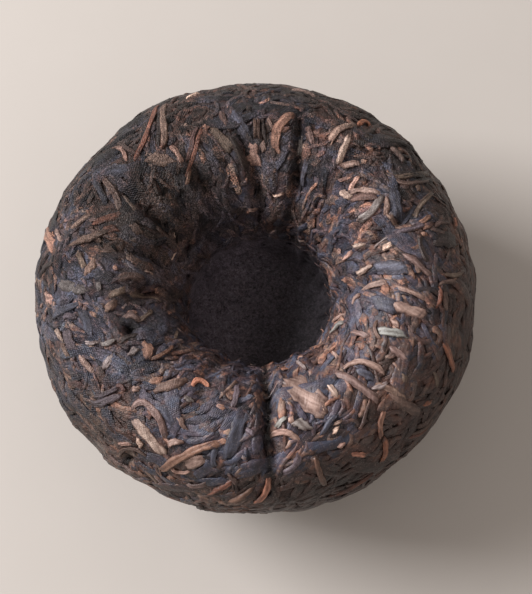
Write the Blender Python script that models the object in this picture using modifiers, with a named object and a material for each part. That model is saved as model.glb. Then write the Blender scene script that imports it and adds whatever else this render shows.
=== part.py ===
"""A pressed tea cake of the bowl-nest shape, standing on its dome with the hollow up.

Metres, +Z up. The origin is the middle of the small flat spot that the cake rests on.
The cake is one solid: a turned body whose skin is pushed in and out by lumps, by the
radial pleats of the pressing bag and by its deep folds, with the largest leaves and
stalks fused onto it.
"""

import math
import random

import bmesh
import bpy
from mathutils import Matrix, Vector, noise

# Driving sizes of the turned body
CAKE_RADIUS = 0.0412
CAKE_HEIGHT = 0.0455
FOOT_RADIUS = 0.0095
WIDEST_HEIGHT = 0.0295
CREST_RADIUS = 0.0270
THROAT_RADIUS = 0.0140
THROAT_HEIGHT = 0.0280
FLOOR_HEIGHT = 0.0130
DOME_FULLNESS = 1.02
FUNNEL_FULLNESS = 1.10
PIT_FULLNESS = 0.62
TURN_STEPS = 84
DOME_ROWS = 8
SHOULDER_ROWS = 5
FUNNEL_ROWS = 8
PIT_ROWS = 5

# The hollow leans this far, from its throat to its floor
HOLLOW_LEAN = Vector((0.0014, -0.0012, 0))

# Relief of the skin, which fades to nothing just above the foot
LUMP_DEPTH = 0.0007
LUMP_SIZE = 0.010
KNOB_DEPTH = 0.0004
KNOB_SIZE = 0.0045
FOOT_BLEND = 0.004
RELIEF_SEED = Vector((3.1, 7.7, 1.9))

# Pleats of the pressing bag: they start between the first two radii and end between the last two
PLEAT_DEPTH = 0.0011
PLEATS_PER_TURN = 46
PLEAT_START = (0.010, 0.014)
PLEAT_END = (0.026, 0.036)

# Deep folds that the gathered bag left: the angle in degrees at their inner and outer
# end, the radius of both ends, depth and half width
FOLDS = (
    {"angles": (-84, -86), "radii": (0.0135, 0.0370), "depth": 0.0030, "width": 0.0011},
    {"angles": (86, 101), "radii": (0.0135, 0.0330), "depth": 0.0024, "width": 0.0012},
    {"angles": (66, 77), "radii": (0.0145, 0.0360), "depth": 0.0022, "width": 0.0009},
    {"angles": (12, 25), "radii": (0.0170, 0.0360), "depth": 0.0020, "width": 0.0009},
    {"angles": (184, 196), "radii": (0.0150, 0.0270), "depth": 0.0024, "width": 0.0013},
    {"angles": (150, 146), "radii": (0.0150, 0.0350), "depth": 0.0014, "width": 0.0012},
    {"angles": (168, 171), "radii": (0.0145, 0.0340), "depth": 0.0013, "width": 0.0010},
    {"angles": (116, 121), "radii": (0.0150, 0.0310), "depth": 0.0013, "width": 0.0012},
)
FOLD_START = 0.005
FOLD_RUNOUT = 0.008

# The leaves and stalks that stand out most: both ends as seen from above, sideways bend
# at the middle as a share of the length, and width
NAMED_STRIPS = {
    "thin_stalk_left": ((-0.0170, 0.0350), (-0.0215, 0.0245), 0.03, 0.0014),
    "thin_stalk_right": ((-0.0158, 0.0353), (-0.0152, 0.0270), -0.02, 0.0015),
    "twin_stalk_left": ((-0.0108, 0.0305), (-0.0135, 0.0210), 0.02, 0.0013),
    "twin_stalk_right": ((-0.0095, 0.0307), (-0.0115, 0.0225), 0.02, 0.0013),
    "bright_leaf_top": ((0.0065, 0.0330), (0.0035, 0.0255), -0.16, 0.0024),
    "pink_leaf_top": ((-0.0018, 0.0260), (-0.0005, 0.0185), 0.05, 0.0034),
    "tan_leaf_right": ((0.0185, 0.0290), (0.0155, 0.0215), 0.05, 0.0022),
    "bent_stalk_right": ((0.0175, 0.0180), (0.0245, 0.0165), 0.22, 0.0016),
    "olive_leaf_right": ((0.0240, 0.0150), (0.0200, 0.0095), -0.06, 0.0024),
    "long_leaf_right": ((0.0215, -0.0110), (0.0330, -0.0200), -0.10, 0.0032),
    "amber_leaf_right": ((0.0195, -0.0085), (0.0285, -0.0120), 0.12, 0.0024),
    "pale_chip_right": ((0.0255, -0.0038), (0.0310, -0.0062), 0.05, 0.0026),
    "rust_chip_right": ((0.0370, -0.0090), (0.0390, -0.0145), 0.03, 0.0020),
    "broad_leaf_below": ((0.0055, -0.0145), (0.0115, -0.0210), 0.08, 0.0042),
    "hook_leaf_below": ((0.0020, -0.0275), (0.0095, -0.0290), 0.30, 0.0020),
    "short_stalk_below": ((0.0130, -0.0310), (0.0140, -0.0375), -0.05, 0.0016),
    "end_stalk_below": ((0.0035, -0.0345), (0.0010, -0.0395), 0.10, 0.0018),
    "upright_leaf_below": ((0.0245, -0.0245), (0.0240, -0.0340), 0.06, 0.0026),
    "knotted_leaf_left": ((-0.0225, -0.0235), (-0.0165, -0.0320), 0.05, 0.0030),
    "hooked_leaf_left": ((-0.0245, -0.0225), (-0.0170, -0.0255), 0.34, 0.0020),
    "long_strip_left": ((-0.0150, -0.0345), (-0.0055, -0.0270), 0.05, 0.0026),
    "pink_strip_left": ((-0.0190, -0.0170), (-0.0085, -0.0155), 0.04, 0.0022),
    "ridge_leaf_upper": ((-0.0355, 0.0085), (-0.0250, 0.0120), 0.06, 0.0022),
    "ridge_leaf_lower": ((-0.0370, 0.0045), (-0.0260, 0.0085), -0.05, 0.0020),
    "forked_leaf_left": ((-0.0320, 0.0215), (-0.0250, 0.0120), 0.06, 0.0030),
    "curled_leaf_left": ((-0.0235, -0.0060), (-0.0180, -0.0020), 0.15, 0.0018),
}
NAMED_THICKNESS = 0.0015

# The other leaves, spread evenly over these shares of the skin's area, from the foot up
# the dome and down to the throat. They slope up to this angle from level.
SPREAD_STRIPS = 48
SPREAD_SHARES = (0.05, 0.85)
SPREAD_SLOPE = 1.2
SPREAD_LENGTHS = (0.0085, 0.0160)
SPREAD_WIDTHS = (0.0024, 0.0038)
SPREAD_THICKNESS = 0.0015
SPREAD_BEND = 0.14
SPREAD_SEED = 11

# Shape of every strip: how far its middle line stands out and its tips sink, as shares of
# its thickness, and how narrow its tips are
STRIP_SIDES = 5
STRIP_SPANS = 4
STRIP_PROUD = 0.15
STRIP_TIP_SINK = 0.35
STRIP_TIP_WIDTH = 0.45
DEEPEST_STRIP = -0.0008
GROUND_CLEARANCE = 0.0003

SLIVER = 0.00002
SHARP_ANGLE = math.radians(40)


def smooth_step(low, high, value):
    """0 at low, 1 at high, with soft ends; low may be above high."""
    share = min(1.0, max(0.0, (value - low) / (high - low)))
    return share * share * (3 - 2 * share)


def quarter(fullness, rows, row):
    """(falling, rising) shares of a quarter of a superellipse, at this row of rows."""
    angle = math.pi / 2 * row / rows
    return max(0.0, math.cos(angle)) ** fullness, math.sin(angle) ** fullness


def cake_profile():
    """(radius, height) from the rim of the foot, out and over the crest, to the pit's floor."""
    points = []
    for row in range(DOME_ROWS + 1):
        falling, rising = quarter(DOME_FULLNESS, DOME_ROWS, row)
        radius = FOOT_RADIUS + (CAKE_RADIUS - FOOT_RADIUS) * rising
        points.append((radius, WIDEST_HEIGHT * (1 - falling)))
    for row in range(1, SHOULDER_ROWS + 1):
        falling, rising = quarter(1, SHOULDER_ROWS, row)
        radius = CREST_RADIUS + (CAKE_RADIUS - CREST_RADIUS) * falling
        points.append((radius, WIDEST_HEIGHT + (CAKE_HEIGHT - WIDEST_HEIGHT) * rising))
    for row in range(1, FUNNEL_ROWS + 1):
        falling, rising = quarter(FUNNEL_FULLNESS, FUNNEL_ROWS, row)
        radius = CREST_RADIUS - (CREST_RADIUS - THROAT_RADIUS) * rising
        points.append((radius, THROAT_HEIGHT + (CAKE_HEIGHT - THROAT_HEIGHT) * falling))
    for row in range(1, PIT_ROWS + 1):
        falling, rising = quarter(PIT_FULLNESS, PIT_ROWS, row)
        points.append((THROAT_RADIUS * falling, THROAT_HEIGHT - (THROAT_HEIGHT - FLOOR_HEIGHT) * rising))
    return points


def fold_depth(fold, radius, angle):
    """How deep this fold is at a place on the upper side."""
    inner, outer = fold["radii"]
    share = min(1.0, max(0.0, (radius - inner) / (outer - inner)))
    middle = math.radians(fold["angles"][0] + (fold["angles"][1] - fold["angles"][0]) * share)
    turn = (angle - middle + math.pi) % math.tau - math.pi
    across = radius * turn / fold["width"]
    starts = smooth_step(inner, inner + FOLD_START, radius)
    ends = smooth_step(outer, outer - FOLD_RUNOUT, radius)
    return fold["depth"] * starts * ends * math.exp(-across * across)


def relief(place, faces_up):
    """How far the skin stands out of the turned body at this place, in metres."""
    radius = math.hypot(place.x, place.y)
    angle = math.atan2(place.y, place.x)
    lumps = LUMP_DEPTH * noise.noise(place / LUMP_SIZE + RELIEF_SEED)
    knobs = KNOB_DEPTH * noise.noise(place / KNOB_SIZE + RELIEF_SEED)
    height = (lumps + knobs) * smooth_step(0, FOOT_BLEND, place.z)
    if not faces_up:
        return height
    turn = PLEATS_PER_TURN / math.tau
    around = Vector((turn * math.cos(angle), turn * math.sin(angle), 0)) + RELIEF_SEED
    pleated = smooth_step(*PLEAT_START, radius) * smooth_step(*reversed(PLEAT_END), radius)
    height += PLEAT_DEPTH * pleated * noise.noise(around)
    return height - sum(fold_depth(fold, radius, angle) for fold in FOLDS)


def add_turned_body():
    """The plain turned body, as a profile with a Screw modifier, made a mesh."""
    mesh = bpy.data.meshes.new("cake_profile")
    profile = [(0.0, 0.0)] + cake_profile()
    points = [(radius, 0, height) for radius, height in reversed(profile)]
    mesh.from_pydata(points, [(i, i + 1) for i in range(len(points) - 1)], [])
    turned = bpy.data.objects.new("cake_profile", mesh)
    bpy.context.scene.collection.objects.link(turned)
    screw = turned.modifiers.new("turn", "SCREW")
    screw.steps = TURN_STEPS
    screw.render_steps = TURN_STEPS
    screw.use_merge_vertices = True
    screw.merge_threshold = 0.00001
    graph = bpy.context.evaluated_depsgraph_get()
    body = bpy.data.objects.new("tuocha", bpy.data.meshes.new_from_object(turned.evaluated_get(graph)))
    body.data.name = "tuocha"
    bpy.data.objects.remove(turned)
    return body


def press_skin(body):
    """Leans the hollow, then moves every point of the skin along its normal by the relief."""
    mesh = body.data
    mesh.update()
    normals = [vertex.normal.copy() for vertex in mesh.vertices]
    for vertex, normal in zip(mesh.vertices, normals):
        radius = math.hypot(vertex.co.x, vertex.co.y)
        in_hollow = radius < CREST_RADIUS and vertex.co.z > FLOOR_HEIGHT - SLIVER
        faces_up = in_hollow or vertex.co.z > WIDEST_HEIGHT
        moved = vertex.co + normal * relief(vertex.co, faces_up)
        if in_hollow:
            moved += HOLLOW_LEAN * smooth_step(CAKE_HEIGHT, FLOOR_HEIGHT, vertex.co.z)
        vertex.co = moved
    mesh.update()


def on_skin(place, normal, faces_up):
    """A place on the plain turned body moved onto the pressed skin, and the way out there."""
    return place + normal * max(relief(place, faces_up), DEEPEST_STRIP), normal


def path_from_above(body, start, end, bend):
    """Points on the skin under a slightly bent line between two places seen from above."""
    first, last = Vector((*start, 0)), Vector((*end, 0))
    sideways = Vector((0, 0, 1)).cross(last - first)
    path = []
    for span in range(STRIP_SPANS + 1):
        share = span / STRIP_SPANS
        flat = first.lerp(last, share) + sideways * bend * 4 * share * (1 - share)
        above = flat + Vector((0, 0, 2 * CAKE_HEIGHT))
        _, place, normal, _ = body.ray_cast(above, Vector((0, 0, -1)))
        path.append(on_skin(place, normal, True))
    return path


def path_along_skin(body, middle, slope, length, bend):
    """Points on the skin along a bent line through a place on it, this angle from level."""
    _, place, normal, _ = body.closest_point_on_mesh(middle)
    around = Vector((0, 0, 1)).cross(place).normalized()
    along = around * math.cos(slope) + normal.cross(around) * math.sin(slope)
    sideways = normal.cross(along)
    path = []
    for span in range(STRIP_SPANS + 1):
        share = span / STRIP_SPANS - 0.5
        free = place + along * length * share + sideways * length * bend * (1 - 4 * share * share)
        _, near, facing, _ = body.closest_point_on_mesh(free)
        path.append(on_skin(near, facing, False))
    return path


def add_strip(name, path, width, thickness, collection):
    """A bar with tapered, sunk ends that lies along the path, flat side to the skin."""
    mesh = bpy.data.meshes.new(name)
    bar = bmesh.new()
    bmesh.ops.create_cone(bar, cap_ends=True, segments=STRIP_SIDES, radius1=0.5, radius2=0.5, depth=1)
    long_edges = [e for e in bar.edges if abs(e.verts[0].co.z - e.verts[1].co.z) > 0.5]
    bmesh.ops.subdivide_edges(bar, edges=long_edges, cuts=STRIP_SPANS - 1)
    for vertex in bar.verts:
        share = vertex.co.z + 0.5
        row = round(share * STRIP_SPANS)
        middle, up = path[row]
        along = path[min(row + 1, STRIP_SPANS)][0] - path[max(row - 1, 0)][0]
        across = up.cross(along).normalized()
        from_middle = abs(2 * share - 1) ** 3
        taper = 1 - (1 - STRIP_TIP_WIDTH) * from_middle
        rise = thickness * (STRIP_PROUD - STRIP_TIP_SINK * from_middle - vertex.co.y)
        vertex.co = middle - across * vertex.co.x * width * taper + up * rise
        vertex.co.z = max(vertex.co.z, GROUND_CLEARANCE)
    bar.to_mesh(mesh)
    bar.free()
    collection.objects.link(bpy.data.objects.new(name, mesh))


def place_by_area(share, turn):
    """A place on the turned body, this share of the way along it by area, at this angle."""
    profile = cake_profile()
    rings = [math.dist(a, b) * (a[0] + b[0]) for a, b in zip(profile, profile[1:])]
    left = share * sum(rings)
    for ring, (a, b) in zip(rings, zip(profile, profile[1:])):
        if left <= ring:
            radius = a[0] + (b[0] - a[0]) * left / ring
            height = a[1] + (b[1] - a[1]) * left / ring
            return Matrix.Rotation(turn, 3, "Z") @ Vector((radius, 0, height))
        left -= ring
    return Vector((0, 0, profile[-1][1]))


def add_strips(body, collection):
    """The named leaves first, then the ones spread by a golden-angle spiral."""
    for name, (start, end, bend, width) in NAMED_STRIPS.items():
        add_strip(name, path_from_above(body, start, end, bend), width, NAMED_THICKNESS, collection)
    draw = random.Random(SPREAD_SEED)
    golden_angle = math.pi * (3 - math.sqrt(5))
    first, last = SPREAD_SHARES
    for number in range(SPREAD_STRIPS):
        share = first + (last - first) * (number + 0.5) / SPREAD_STRIPS
        middle = place_by_area(share, number * golden_angle)
        slope = draw.uniform(-SPREAD_SLOPE, SPREAD_SLOPE)
        length = draw.uniform(*SPREAD_LENGTHS)
        width = draw.uniform(*SPREAD_WIDTHS)
        bend = draw.uniform(-SPREAD_BEND, SPREAD_BEND)
        path = path_along_skin(body, middle, slope, length, bend)
        add_strip(f"leaf_{number:02d}", path, width, SPREAD_THICKNESS, collection)


def fuse(body, collection):
    """Joins the body and all strips into one solid, then drops the loose strips."""
    union = body.modifiers.new("strips", "BOOLEAN")
    union.operation = "UNION"
    union.operand_type = "COLLECTION"
    union.collection = collection
    union.solver = "MANIFOLD"
    graph = bpy.context.evaluated_depsgraph_get()
    fused = bpy.data.meshes.new_from_object(body.evaluated_get(graph))
    body.modifiers.clear()
    body.data = fused
    for strip in list(collection.objects):
        bpy.data.objects.remove(strip)
    bpy.data.collections.remove(collection)


def clean_skin(body):
    """Merges slivers, then drops every shell but the largest: sealed hollows and scraps go."""
    skin = bmesh.new()
    skin.from_mesh(body.data)
    bmesh.ops.remove_doubles(skin, verts=skin.verts, dist=SLIVER)
    bmesh.ops.dissolve_degenerate(skin, edges=skin.edges, dist=SLIVER)
    bmesh.ops.triangulate(skin, faces=skin.faces)
    left = set(skin.faces)
    shells = []
    while left:
        shell, reach = set(), [left.pop()]
        while reach:
            face = reach.pop()
            shell.add(face)
            beside = {other for edge in face.edges for other in edge.link_faces} & left
            left -= beside
            reach.extend(beside)
        shells.append(shell)
    shells.sort(key=len)
    for shell in shells[:-1]:
        bmesh.ops.delete(skin, geom=list(shell), context="FACES")
    skin.to_mesh(body.data)
    skin.free()


def tea_material():
    """Dark pressed tea with a dull, slightly silky skin."""
    material = bpy.data.materials.new("pressed_tea")
    material.use_nodes = True
    shader = material.node_tree.nodes["Principled BSDF"]
    shader.inputs["Base Color"].default_value = (0.045, 0.038, 0.036, 1)
    shader.inputs["Roughness"].default_value = 0.62
    shader.inputs["Metallic"].default_value = 0.0
    return material


def main():
    for old in list(bpy.data.objects):
        bpy.data.objects.remove(old)
    parts = bpy.data.collections.new("tuocha")
    strips = bpy.data.collections.new("strips")
    bpy.context.scene.collection.children.link(parts)
    bpy.context.scene.collection.children.link(strips)
    body = add_turned_body()
    parts.objects.link(body)
    bpy.context.view_layer.update()
    add_strips(body, strips)
    press_skin(body)
    fuse(body, strips)
    clean_skin(body)
    body.data.materials.clear()
    body.data.materials.append(tea_material())
    body.data.shade_smooth()
    body.data.set_sharp_from_angle(angle=SHARP_ANGLE)


main()
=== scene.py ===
# Pressed tea cake of the bowl-nest shape, hollow up: a dark core under several
# layers of flattened leaves, stalks, chips and the frayed fibres of the throat.

import math
import random

import bmesh
import bpy
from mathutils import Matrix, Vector, noise


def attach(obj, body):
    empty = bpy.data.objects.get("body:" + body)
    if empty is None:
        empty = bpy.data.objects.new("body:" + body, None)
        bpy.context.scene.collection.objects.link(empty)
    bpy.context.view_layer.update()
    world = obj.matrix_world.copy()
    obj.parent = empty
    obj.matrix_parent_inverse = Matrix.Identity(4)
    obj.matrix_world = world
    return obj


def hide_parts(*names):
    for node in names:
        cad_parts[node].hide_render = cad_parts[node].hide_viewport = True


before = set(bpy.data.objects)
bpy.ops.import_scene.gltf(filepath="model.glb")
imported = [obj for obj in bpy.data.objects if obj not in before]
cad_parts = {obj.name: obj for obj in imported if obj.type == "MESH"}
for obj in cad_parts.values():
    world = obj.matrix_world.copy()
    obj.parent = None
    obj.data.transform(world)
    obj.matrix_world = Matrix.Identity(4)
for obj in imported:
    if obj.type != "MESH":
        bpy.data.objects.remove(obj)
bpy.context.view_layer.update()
print("frame loaded")


def rowsOf(keys, *rows):
    # each row as a dictionary with these keys
    return [dict(zip(keys, row)) for row in rows]


def patches(*rows):
    # round patches, seen from above: x and y of the middle, radius, strength
    return rowsOf(("middle", "radius", "strength"), *((Vector((x, y, 0)), *rest) for x, y, *rest in rows))


# the form of the cake, in metres, the same as the solid's
cake = {
    "radius": 0.0412, "height": 0.0455, "footRadius": 0.0095, "widestHeight": 0.0295,
    "crestRadius": 0.0270, "throatRadius": 0.0140, "throatHeight": 0.0280, "floorHeight": 0.0130,
    "domeFullness": 1.02, "funnelFullness": 1.10, "pitFullness": 0.62,
    "lean": Vector((0.0014, -0.0012, 0)),  # of the hollow, from its crest to its floor
    "turnSteps": 440, "domeRows": 84, "shoulderRows": 44, "funnelRows": 52, "pitRows": 30,
}

skin = {
    "lumpDepth": 0.0007, "lumpSize": 0.010, "knobDepth": 0.0004, "knobSize": 0.0045,
    "footBlend": 0.004, "seed": Vector((3.1, 7.7, 1.9)),
    "pleatDepth": 0.0011, "pleatsPerTurn": 46, "pleatStart": (0.010, 0.014), "pleatEnd": (0.026, 0.036),
    "foldStart": 0.005, "foldRunout": 0.008,
}

# angles and radii are those of the inner and the outer end, and the width is half of the fold's; dark is how
# much shade is painted into its cleft
folds = rowsOf(
    ("angles", "radii", "depth", "width", "dark"),
    ((-84, -86), (0.0135, 0.0400), 0.0032, 0.0014, 0.80),
    ((86, 101), (0.0135, 0.0330), 0.0020, 0.0012, 0),
    ((66, 77), (0.0145, 0.0360), 0.0022, 0.0009, 0.1),
    ((12, 25), (0.0170, 0.0360), 0.0020, 0.0009, 0.3),
    ((184, 196), (0.0150, 0.0270), 0.0024, 0.0013, 0),
    ((150, 146), (0.0150, 0.0350), 0.0014, 0.0012, 0),
    ((168, 171), (0.0145, 0.0340), 0.0013, 0.0010, 0),
    ((116, 121), (0.0150, 0.0310), 0.0013, 0.0012, 0),
)

# a hole's strength is its depth; the shader also paints shade into each hole
holes = patches((-0.0222, -0.0105, 0.0011, 0.0022), (-0.0229, -0.0326, 0.0009, 0.0014))

flow = {  # which way the leaves lie, in degrees from level, and how far they stray
    "radialRadius": 0.0200, "freeRadius": 0.0390, "tangledRadii": (0.003, 0.0110),
    "outerAngle": 18, "swirl": 85, "swirlSize": 0.011,
    "funnelStray": 24, "outerStray": 42, "pitStray": 90,
    "combedTowards": 140,  # the side of the funnel where the leaves lie straightest and flattest, with few pale ones
    "calmRadii": (0.031, 0.023),
    "smoothedTowards": 175,  # the side where the pressing bag left the broadest flat leaves
    "foldReach": 2.4,  # of a fold on the leaves beside it, in its half widths
    "clusterSize": 0.0055, "clusterEdges": (-0.20, 0.22), "clusterLeast": 0.2,
    "lipHeight": 0.0280, "lipReach": 0.0022,  # where the fibres of the throat grow
    "pitTop": 0.001,  # of the pit, below the throat
    "pitSettled": 1.1, "pitPaleRoom": 0.06,
}


def smoothStep(low, high, value):
    share = min(1.0, max(0.0, (value - low) / (high - low)))
    return share * share * (3 - 2 * share)


def quarterArc(fullness, rows, row):
    angle = math.pi / 2 * row / rows
    return max(0.0, math.cos(angle)) ** fullness, math.sin(angle) ** fullness


def cakeProfile():
    points = []
    rise = cake["height"] - cake["widestHeight"]
    for row in range(cake["domeRows"] + 1):
        falling, rising = quarterArc(cake["domeFullness"], cake["domeRows"], row)
        radius = cake["footRadius"] + (cake["radius"] - cake["footRadius"]) * rising
        points.append((radius, cake["widestHeight"] * (1 - falling)))
    for row in range(1, cake["shoulderRows"] + 1):
        falling, rising = quarterArc(1, cake["shoulderRows"], row)
        radius = cake["crestRadius"] + (cake["radius"] - cake["crestRadius"]) * falling
        points.append((radius, cake["widestHeight"] + rise * rising))
    for row in range(1, cake["funnelRows"] + 1):
        falling, rising = quarterArc(cake["funnelFullness"], cake["funnelRows"], row)
        radius = cake["crestRadius"] - (cake["crestRadius"] - cake["throatRadius"]) * rising
        points.append((radius, cake["throatHeight"] + (cake["height"] - cake["throatHeight"]) * falling))
    for row in range(1, cake["pitRows"] + 1):
        falling, rising = quarterArc(cake["pitFullness"], cake["pitRows"], row)
        height = cake["throatHeight"] - (cake["throatHeight"] - cake["floorHeight"]) * rising
        points.append((cake["throatRadius"] * falling, height))
    return points


def foldShape(fold, radius, angle):
    # how far across the fold a place is, in its half widths, and how deep the fold is there
    inner, outer = fold["radii"]
    share = min(1.0, max(0.0, (radius - inner) / (outer - inner)))
    middle = math.radians(fold["angles"][0] + (fold["angles"][1] - fold["angles"][0]) * share)
    turn = (angle - middle + math.pi) % math.tau - math.pi
    starts = smoothStep(inner, inner + skin["foldStart"], radius)
    ends = smoothStep(outer, outer - skin["foldRunout"], radius)
    return radius * turn / fold["width"], fold["depth"] * starts * ends


def awayFrom(patch, place):
    # how far a place is from a patch's middle, in its radii
    return math.hypot(place.x - patch["middle"].x, place.y - patch["middle"].y) / patch["radius"]


def relief(place, facesUp):
    # how high the skin stands there, and how near a fold is, from 0 to 1
    radius = math.hypot(place.x, place.y)
    angle = math.atan2(place.y, place.x)
    lumps = skin["lumpDepth"] * noise.noise(place / skin["lumpSize"] + skin["seed"])
    knobs = skin["knobDepth"] * noise.noise(place / skin["knobSize"] + skin["seed"])
    height = (lumps + knobs) * smoothStep(0, skin["footBlend"], place.z)
    if not facesUp:
        return height, 0.0
    turn = skin["pleatsPerTurn"] / math.tau
    around = Vector((turn * math.cos(angle), turn * math.sin(angle), 0)) + skin["seed"]
    pleated = smoothStep(*skin["pleatStart"], radius) * smoothStep(*reversed(skin["pleatEnd"]), radius)
    height += skin["pleatDepth"] * pleated * noise.noise(around)
    nearFold = 0.0
    for fold in folds:
        across, depth = foldShape(fold, radius, angle)
        height -= depth * math.exp(-across * across)
        nearFold = max(nearFold, depth / fold["depth"] * math.exp(-(across / flow["foldReach"]) ** 2))
    for hole in holes:
        height -= hole["strength"] * math.exp(-awayFrom(hole, place) ** 2)
    return height, nearFold


def placeValues(place, outward):
    # how a place of the form is pressed, which way leaves lie there, and how much room each kind has
    radius = math.hypot(place.x, place.y)
    angle = math.atan2(place.y, place.x)
    inHollow = radius < cake["crestRadius"] and place.z > cake["floorHeight"] - 0.00002
    inPit = inHollow and place.z < cake["throatHeight"] - flow["pitTop"]
    facesUp = inHollow or place.z > cake["widestHeight"]
    height, nearFold = relief(place, facesUp)
    press = outward * height
    if inHollow:
        press = press + cake["lean"] * smoothStep(cake["height"], cake["floorHeight"], place.z)

    towards = math.cos(angle - math.radians(flow["combedTowards"]))
    calm = max(0.0, towards) * smoothStep(*flow["calmRadii"], radius) if facesUp else 0.0
    inFunnel = (0.72 + 0.28 * towards) * smoothStep(flow["freeRadius"], flow["radialRadius"], radius)
    inFunnel *= smoothStep(*flow["tangledRadii"], radius) if facesUp else 0.0
    swirl = flow["swirl"] * noise.noise(place / flow["swirlSize"] + skin["seed"]) * (1 - 0.6 * inFunnel)
    lie = 90 * inFunnel + flow["outerAngle"] * (1 - inFunnel) + swirl
    stray = flow["funnelStray"] * inFunnel + flow["outerStray"] * (1 - inFunnel)
    if inPit:
        stray = flow["pitStray"]

    room = 1 - 0.55 * nearFold ** 3
    for hole in holes:
        room *= 1 - math.exp(-(awayFrom(hole, place) / 2) ** 2) if facesUp else 1
    cluster = smoothStep(*flow["clusterEdges"], noise.noise(place / flow["clusterSize"] - skin["seed"]))
    cluster = flow["clusterLeast"] + (1 - flow["clusterLeast"]) * cluster
    smoothed = smoothStep(-0.2, 0.7, math.cos(angle - math.radians(flow["smoothedTowards"])))
    isSteep = inHollow and radius < flow["radialRadius"]
    onLip = math.exp(-((place.z - flow["lipHeight"]) / flow["lipReach"]) ** 2) if inHollow else 0.0
    return {
        "outward": outward.copy(), "press": press,
        "flow": math.radians(lie * (1 - nearFold) + 90 * nearFold),
        "stray": math.radians(stray * (1 - nearFold)),
        "settled": flow["pitSettled"] if inPit else calm,
        "room": room,
        "paleRoom": flow["pitPaleRoom"] if inPit else room * cluster * (1 - 0.85 * calm),
        "flatRoom": 0.0 if inPit or isSteep else room * (0.12 + 0.88 * smoothed),
        "lip": (0.35 + 0.65 * max(0.0, math.cos(angle))) * onLip,
    }


def addObject(name, data):
    made = bpy.data.objects.new(name, data)
    bpy.context.scene.collection.objects.link(made)
    return made


def addAttributes(mesh, rows):
    # a row of named values for each point
    for name, first in rows[0].items():
        column = [row[name] for row in rows]
        if isinstance(first, Vector):
            layer = mesh.attributes.new(name, "FLOAT_VECTOR", "POINT")
            layer.data.foreach_set("vector", [part for value in column for part in value])
        else:
            mesh.attributes.new(name, "FLOAT", "POINT").data.foreach_set("value", column)


def plainMesh(name, maker):
    # the evaluated shape of an object as a mesh of its own, with the object removed
    bpy.context.view_layer.update()
    graph = bpy.context.evaluated_depsgraph_get()
    mesh = bpy.data.meshes.new_from_object(maker.evaluated_get(graph))
    mesh.name = name
    bpy.data.objects.remove(maker)
    return addObject(name, mesh)


def makeForm():
    # the plain turned body, with the values of each place
    mesh = bpy.data.meshes.new("profile")
    profile = [(0.0, 0.0)] + cakeProfile()
    edges = [(i, i + 1) for i in range(len(profile) - 1)]
    mesh.from_pydata([(r, 0, z) for r, z in reversed(profile)], edges, [])
    outline = addObject("profile", mesh)
    screw = outline.modifiers.new("turn", "SCREW")
    screw.steps = screw.render_steps = cake["turnSteps"]
    screw.use_merge_vertices = True
    screw.merge_threshold = 0.00001
    turned = plainMesh("cakeForm", outline)
    addAttributes(turned.data, [placeValues(vertex.co, vertex.normal) for vertex in turned.data.vertices])
    return turned


form = makeForm()
print("form pressed:", len(form.data.vertices), "points")


class Wire:
    # what an output sends, so that sums of nodes can be written as plain sums
    def __init__(self, socket):
        self.socket = socket
        self.tree = socket.id_data
        self.isVector = socket.type in ("VECTOR", "RGBA")

    __add__ = lambda self, other: calc("ADD", self, other)
    __radd__ = lambda self, other: calc("ADD", other, self)
    __sub__ = lambda self, other: calc("SUBTRACT", self, other)
    __rsub__ = lambda self, other: calc("SUBTRACT", other, self)
    __mul__ = lambda self, other: calc("MULTIPLY", self, other)
    __truediv__ = lambda self, other: calc("DIVIDE", self, other)
    __rtruediv__ = lambda self, other: calc("DIVIDE", other, self)
    __pow__ = lambda self, other: calc("POWER", self, other)


class Outputs:
    # a node's outputs, by name or number
    def __init__(self, node):
        self.node = node

    def __getitem__(self, key):
        return Wire(self.node.outputs[key])


def feed(inputs, values):
    # by name or number: a wire is linked to the input, and anything else is set there
    for key, value in values.items():
        if isinstance(value, Wire):
            value.tree.links.new(value.socket, inputs[key])
        else:
            inputs[key].default_value = value


def addNode(tree, kind, values=None, **settings):
    node = tree.nodes.new(kind)
    for name, value in settings.items():
        setattr(node, name, value)
    feed(node.inputs, values or {})
    return Outputs(node)


def calc(operation, *values):
    # a Math node, or a Vector Math node where a vector or a colour goes in
    wires = [value for value in values if isinstance(value, Wire)]
    if not any(wire.isVector for wire in wires):
        return addNode(wires[0].tree, "ShaderNodeMath", dict(enumerate(values)), operation=operation)[0]
    inputs = dict(enumerate(values))
    if operation == "MULTIPLY":
        operation, inputs = "SCALE", {0: values[0], 3: values[1]}
    node = addNode(wires[0].tree, "ShaderNodeVectorMath", inputs, operation=operation)
    return node["Value" if operation in ("DOT_PRODUCT", "DISTANCE") else 0]


def combined(x, y=0.0, z=0.0):
    return addNode(x.tree, "ShaderNodeCombineXYZ", {"X": x, "Y": y, "Z": z})[0]


def separated(vector):
    return addNode(vector.tree, "ShaderNodeSeparateXYZ", {0: vector})


def readAttribute(tree, name, kind="FLOAT"):
    return addNode(tree, "GeometryNodeInputNamedAttribute", {"Name": name}, data_type=kind)[0]


def storeAttribute(geometry, name, value, kind="FLOAT", domain="POINT"):
    inputs = {"Geometry": geometry, "Name": name, "Value": value}
    return addNode(geometry.tree, "GeometryNodeStoreNamedAttribute", inputs, data_type=kind, domain=domain)[0]


socketKinds = {
    "Geometry": "Geometry", "Form": "Object", "Blank": "Object", "Material": "Material", "Colour": "Color",
    float: "Float", int: "Int", str: "String", tuple: "Vector",
}


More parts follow.
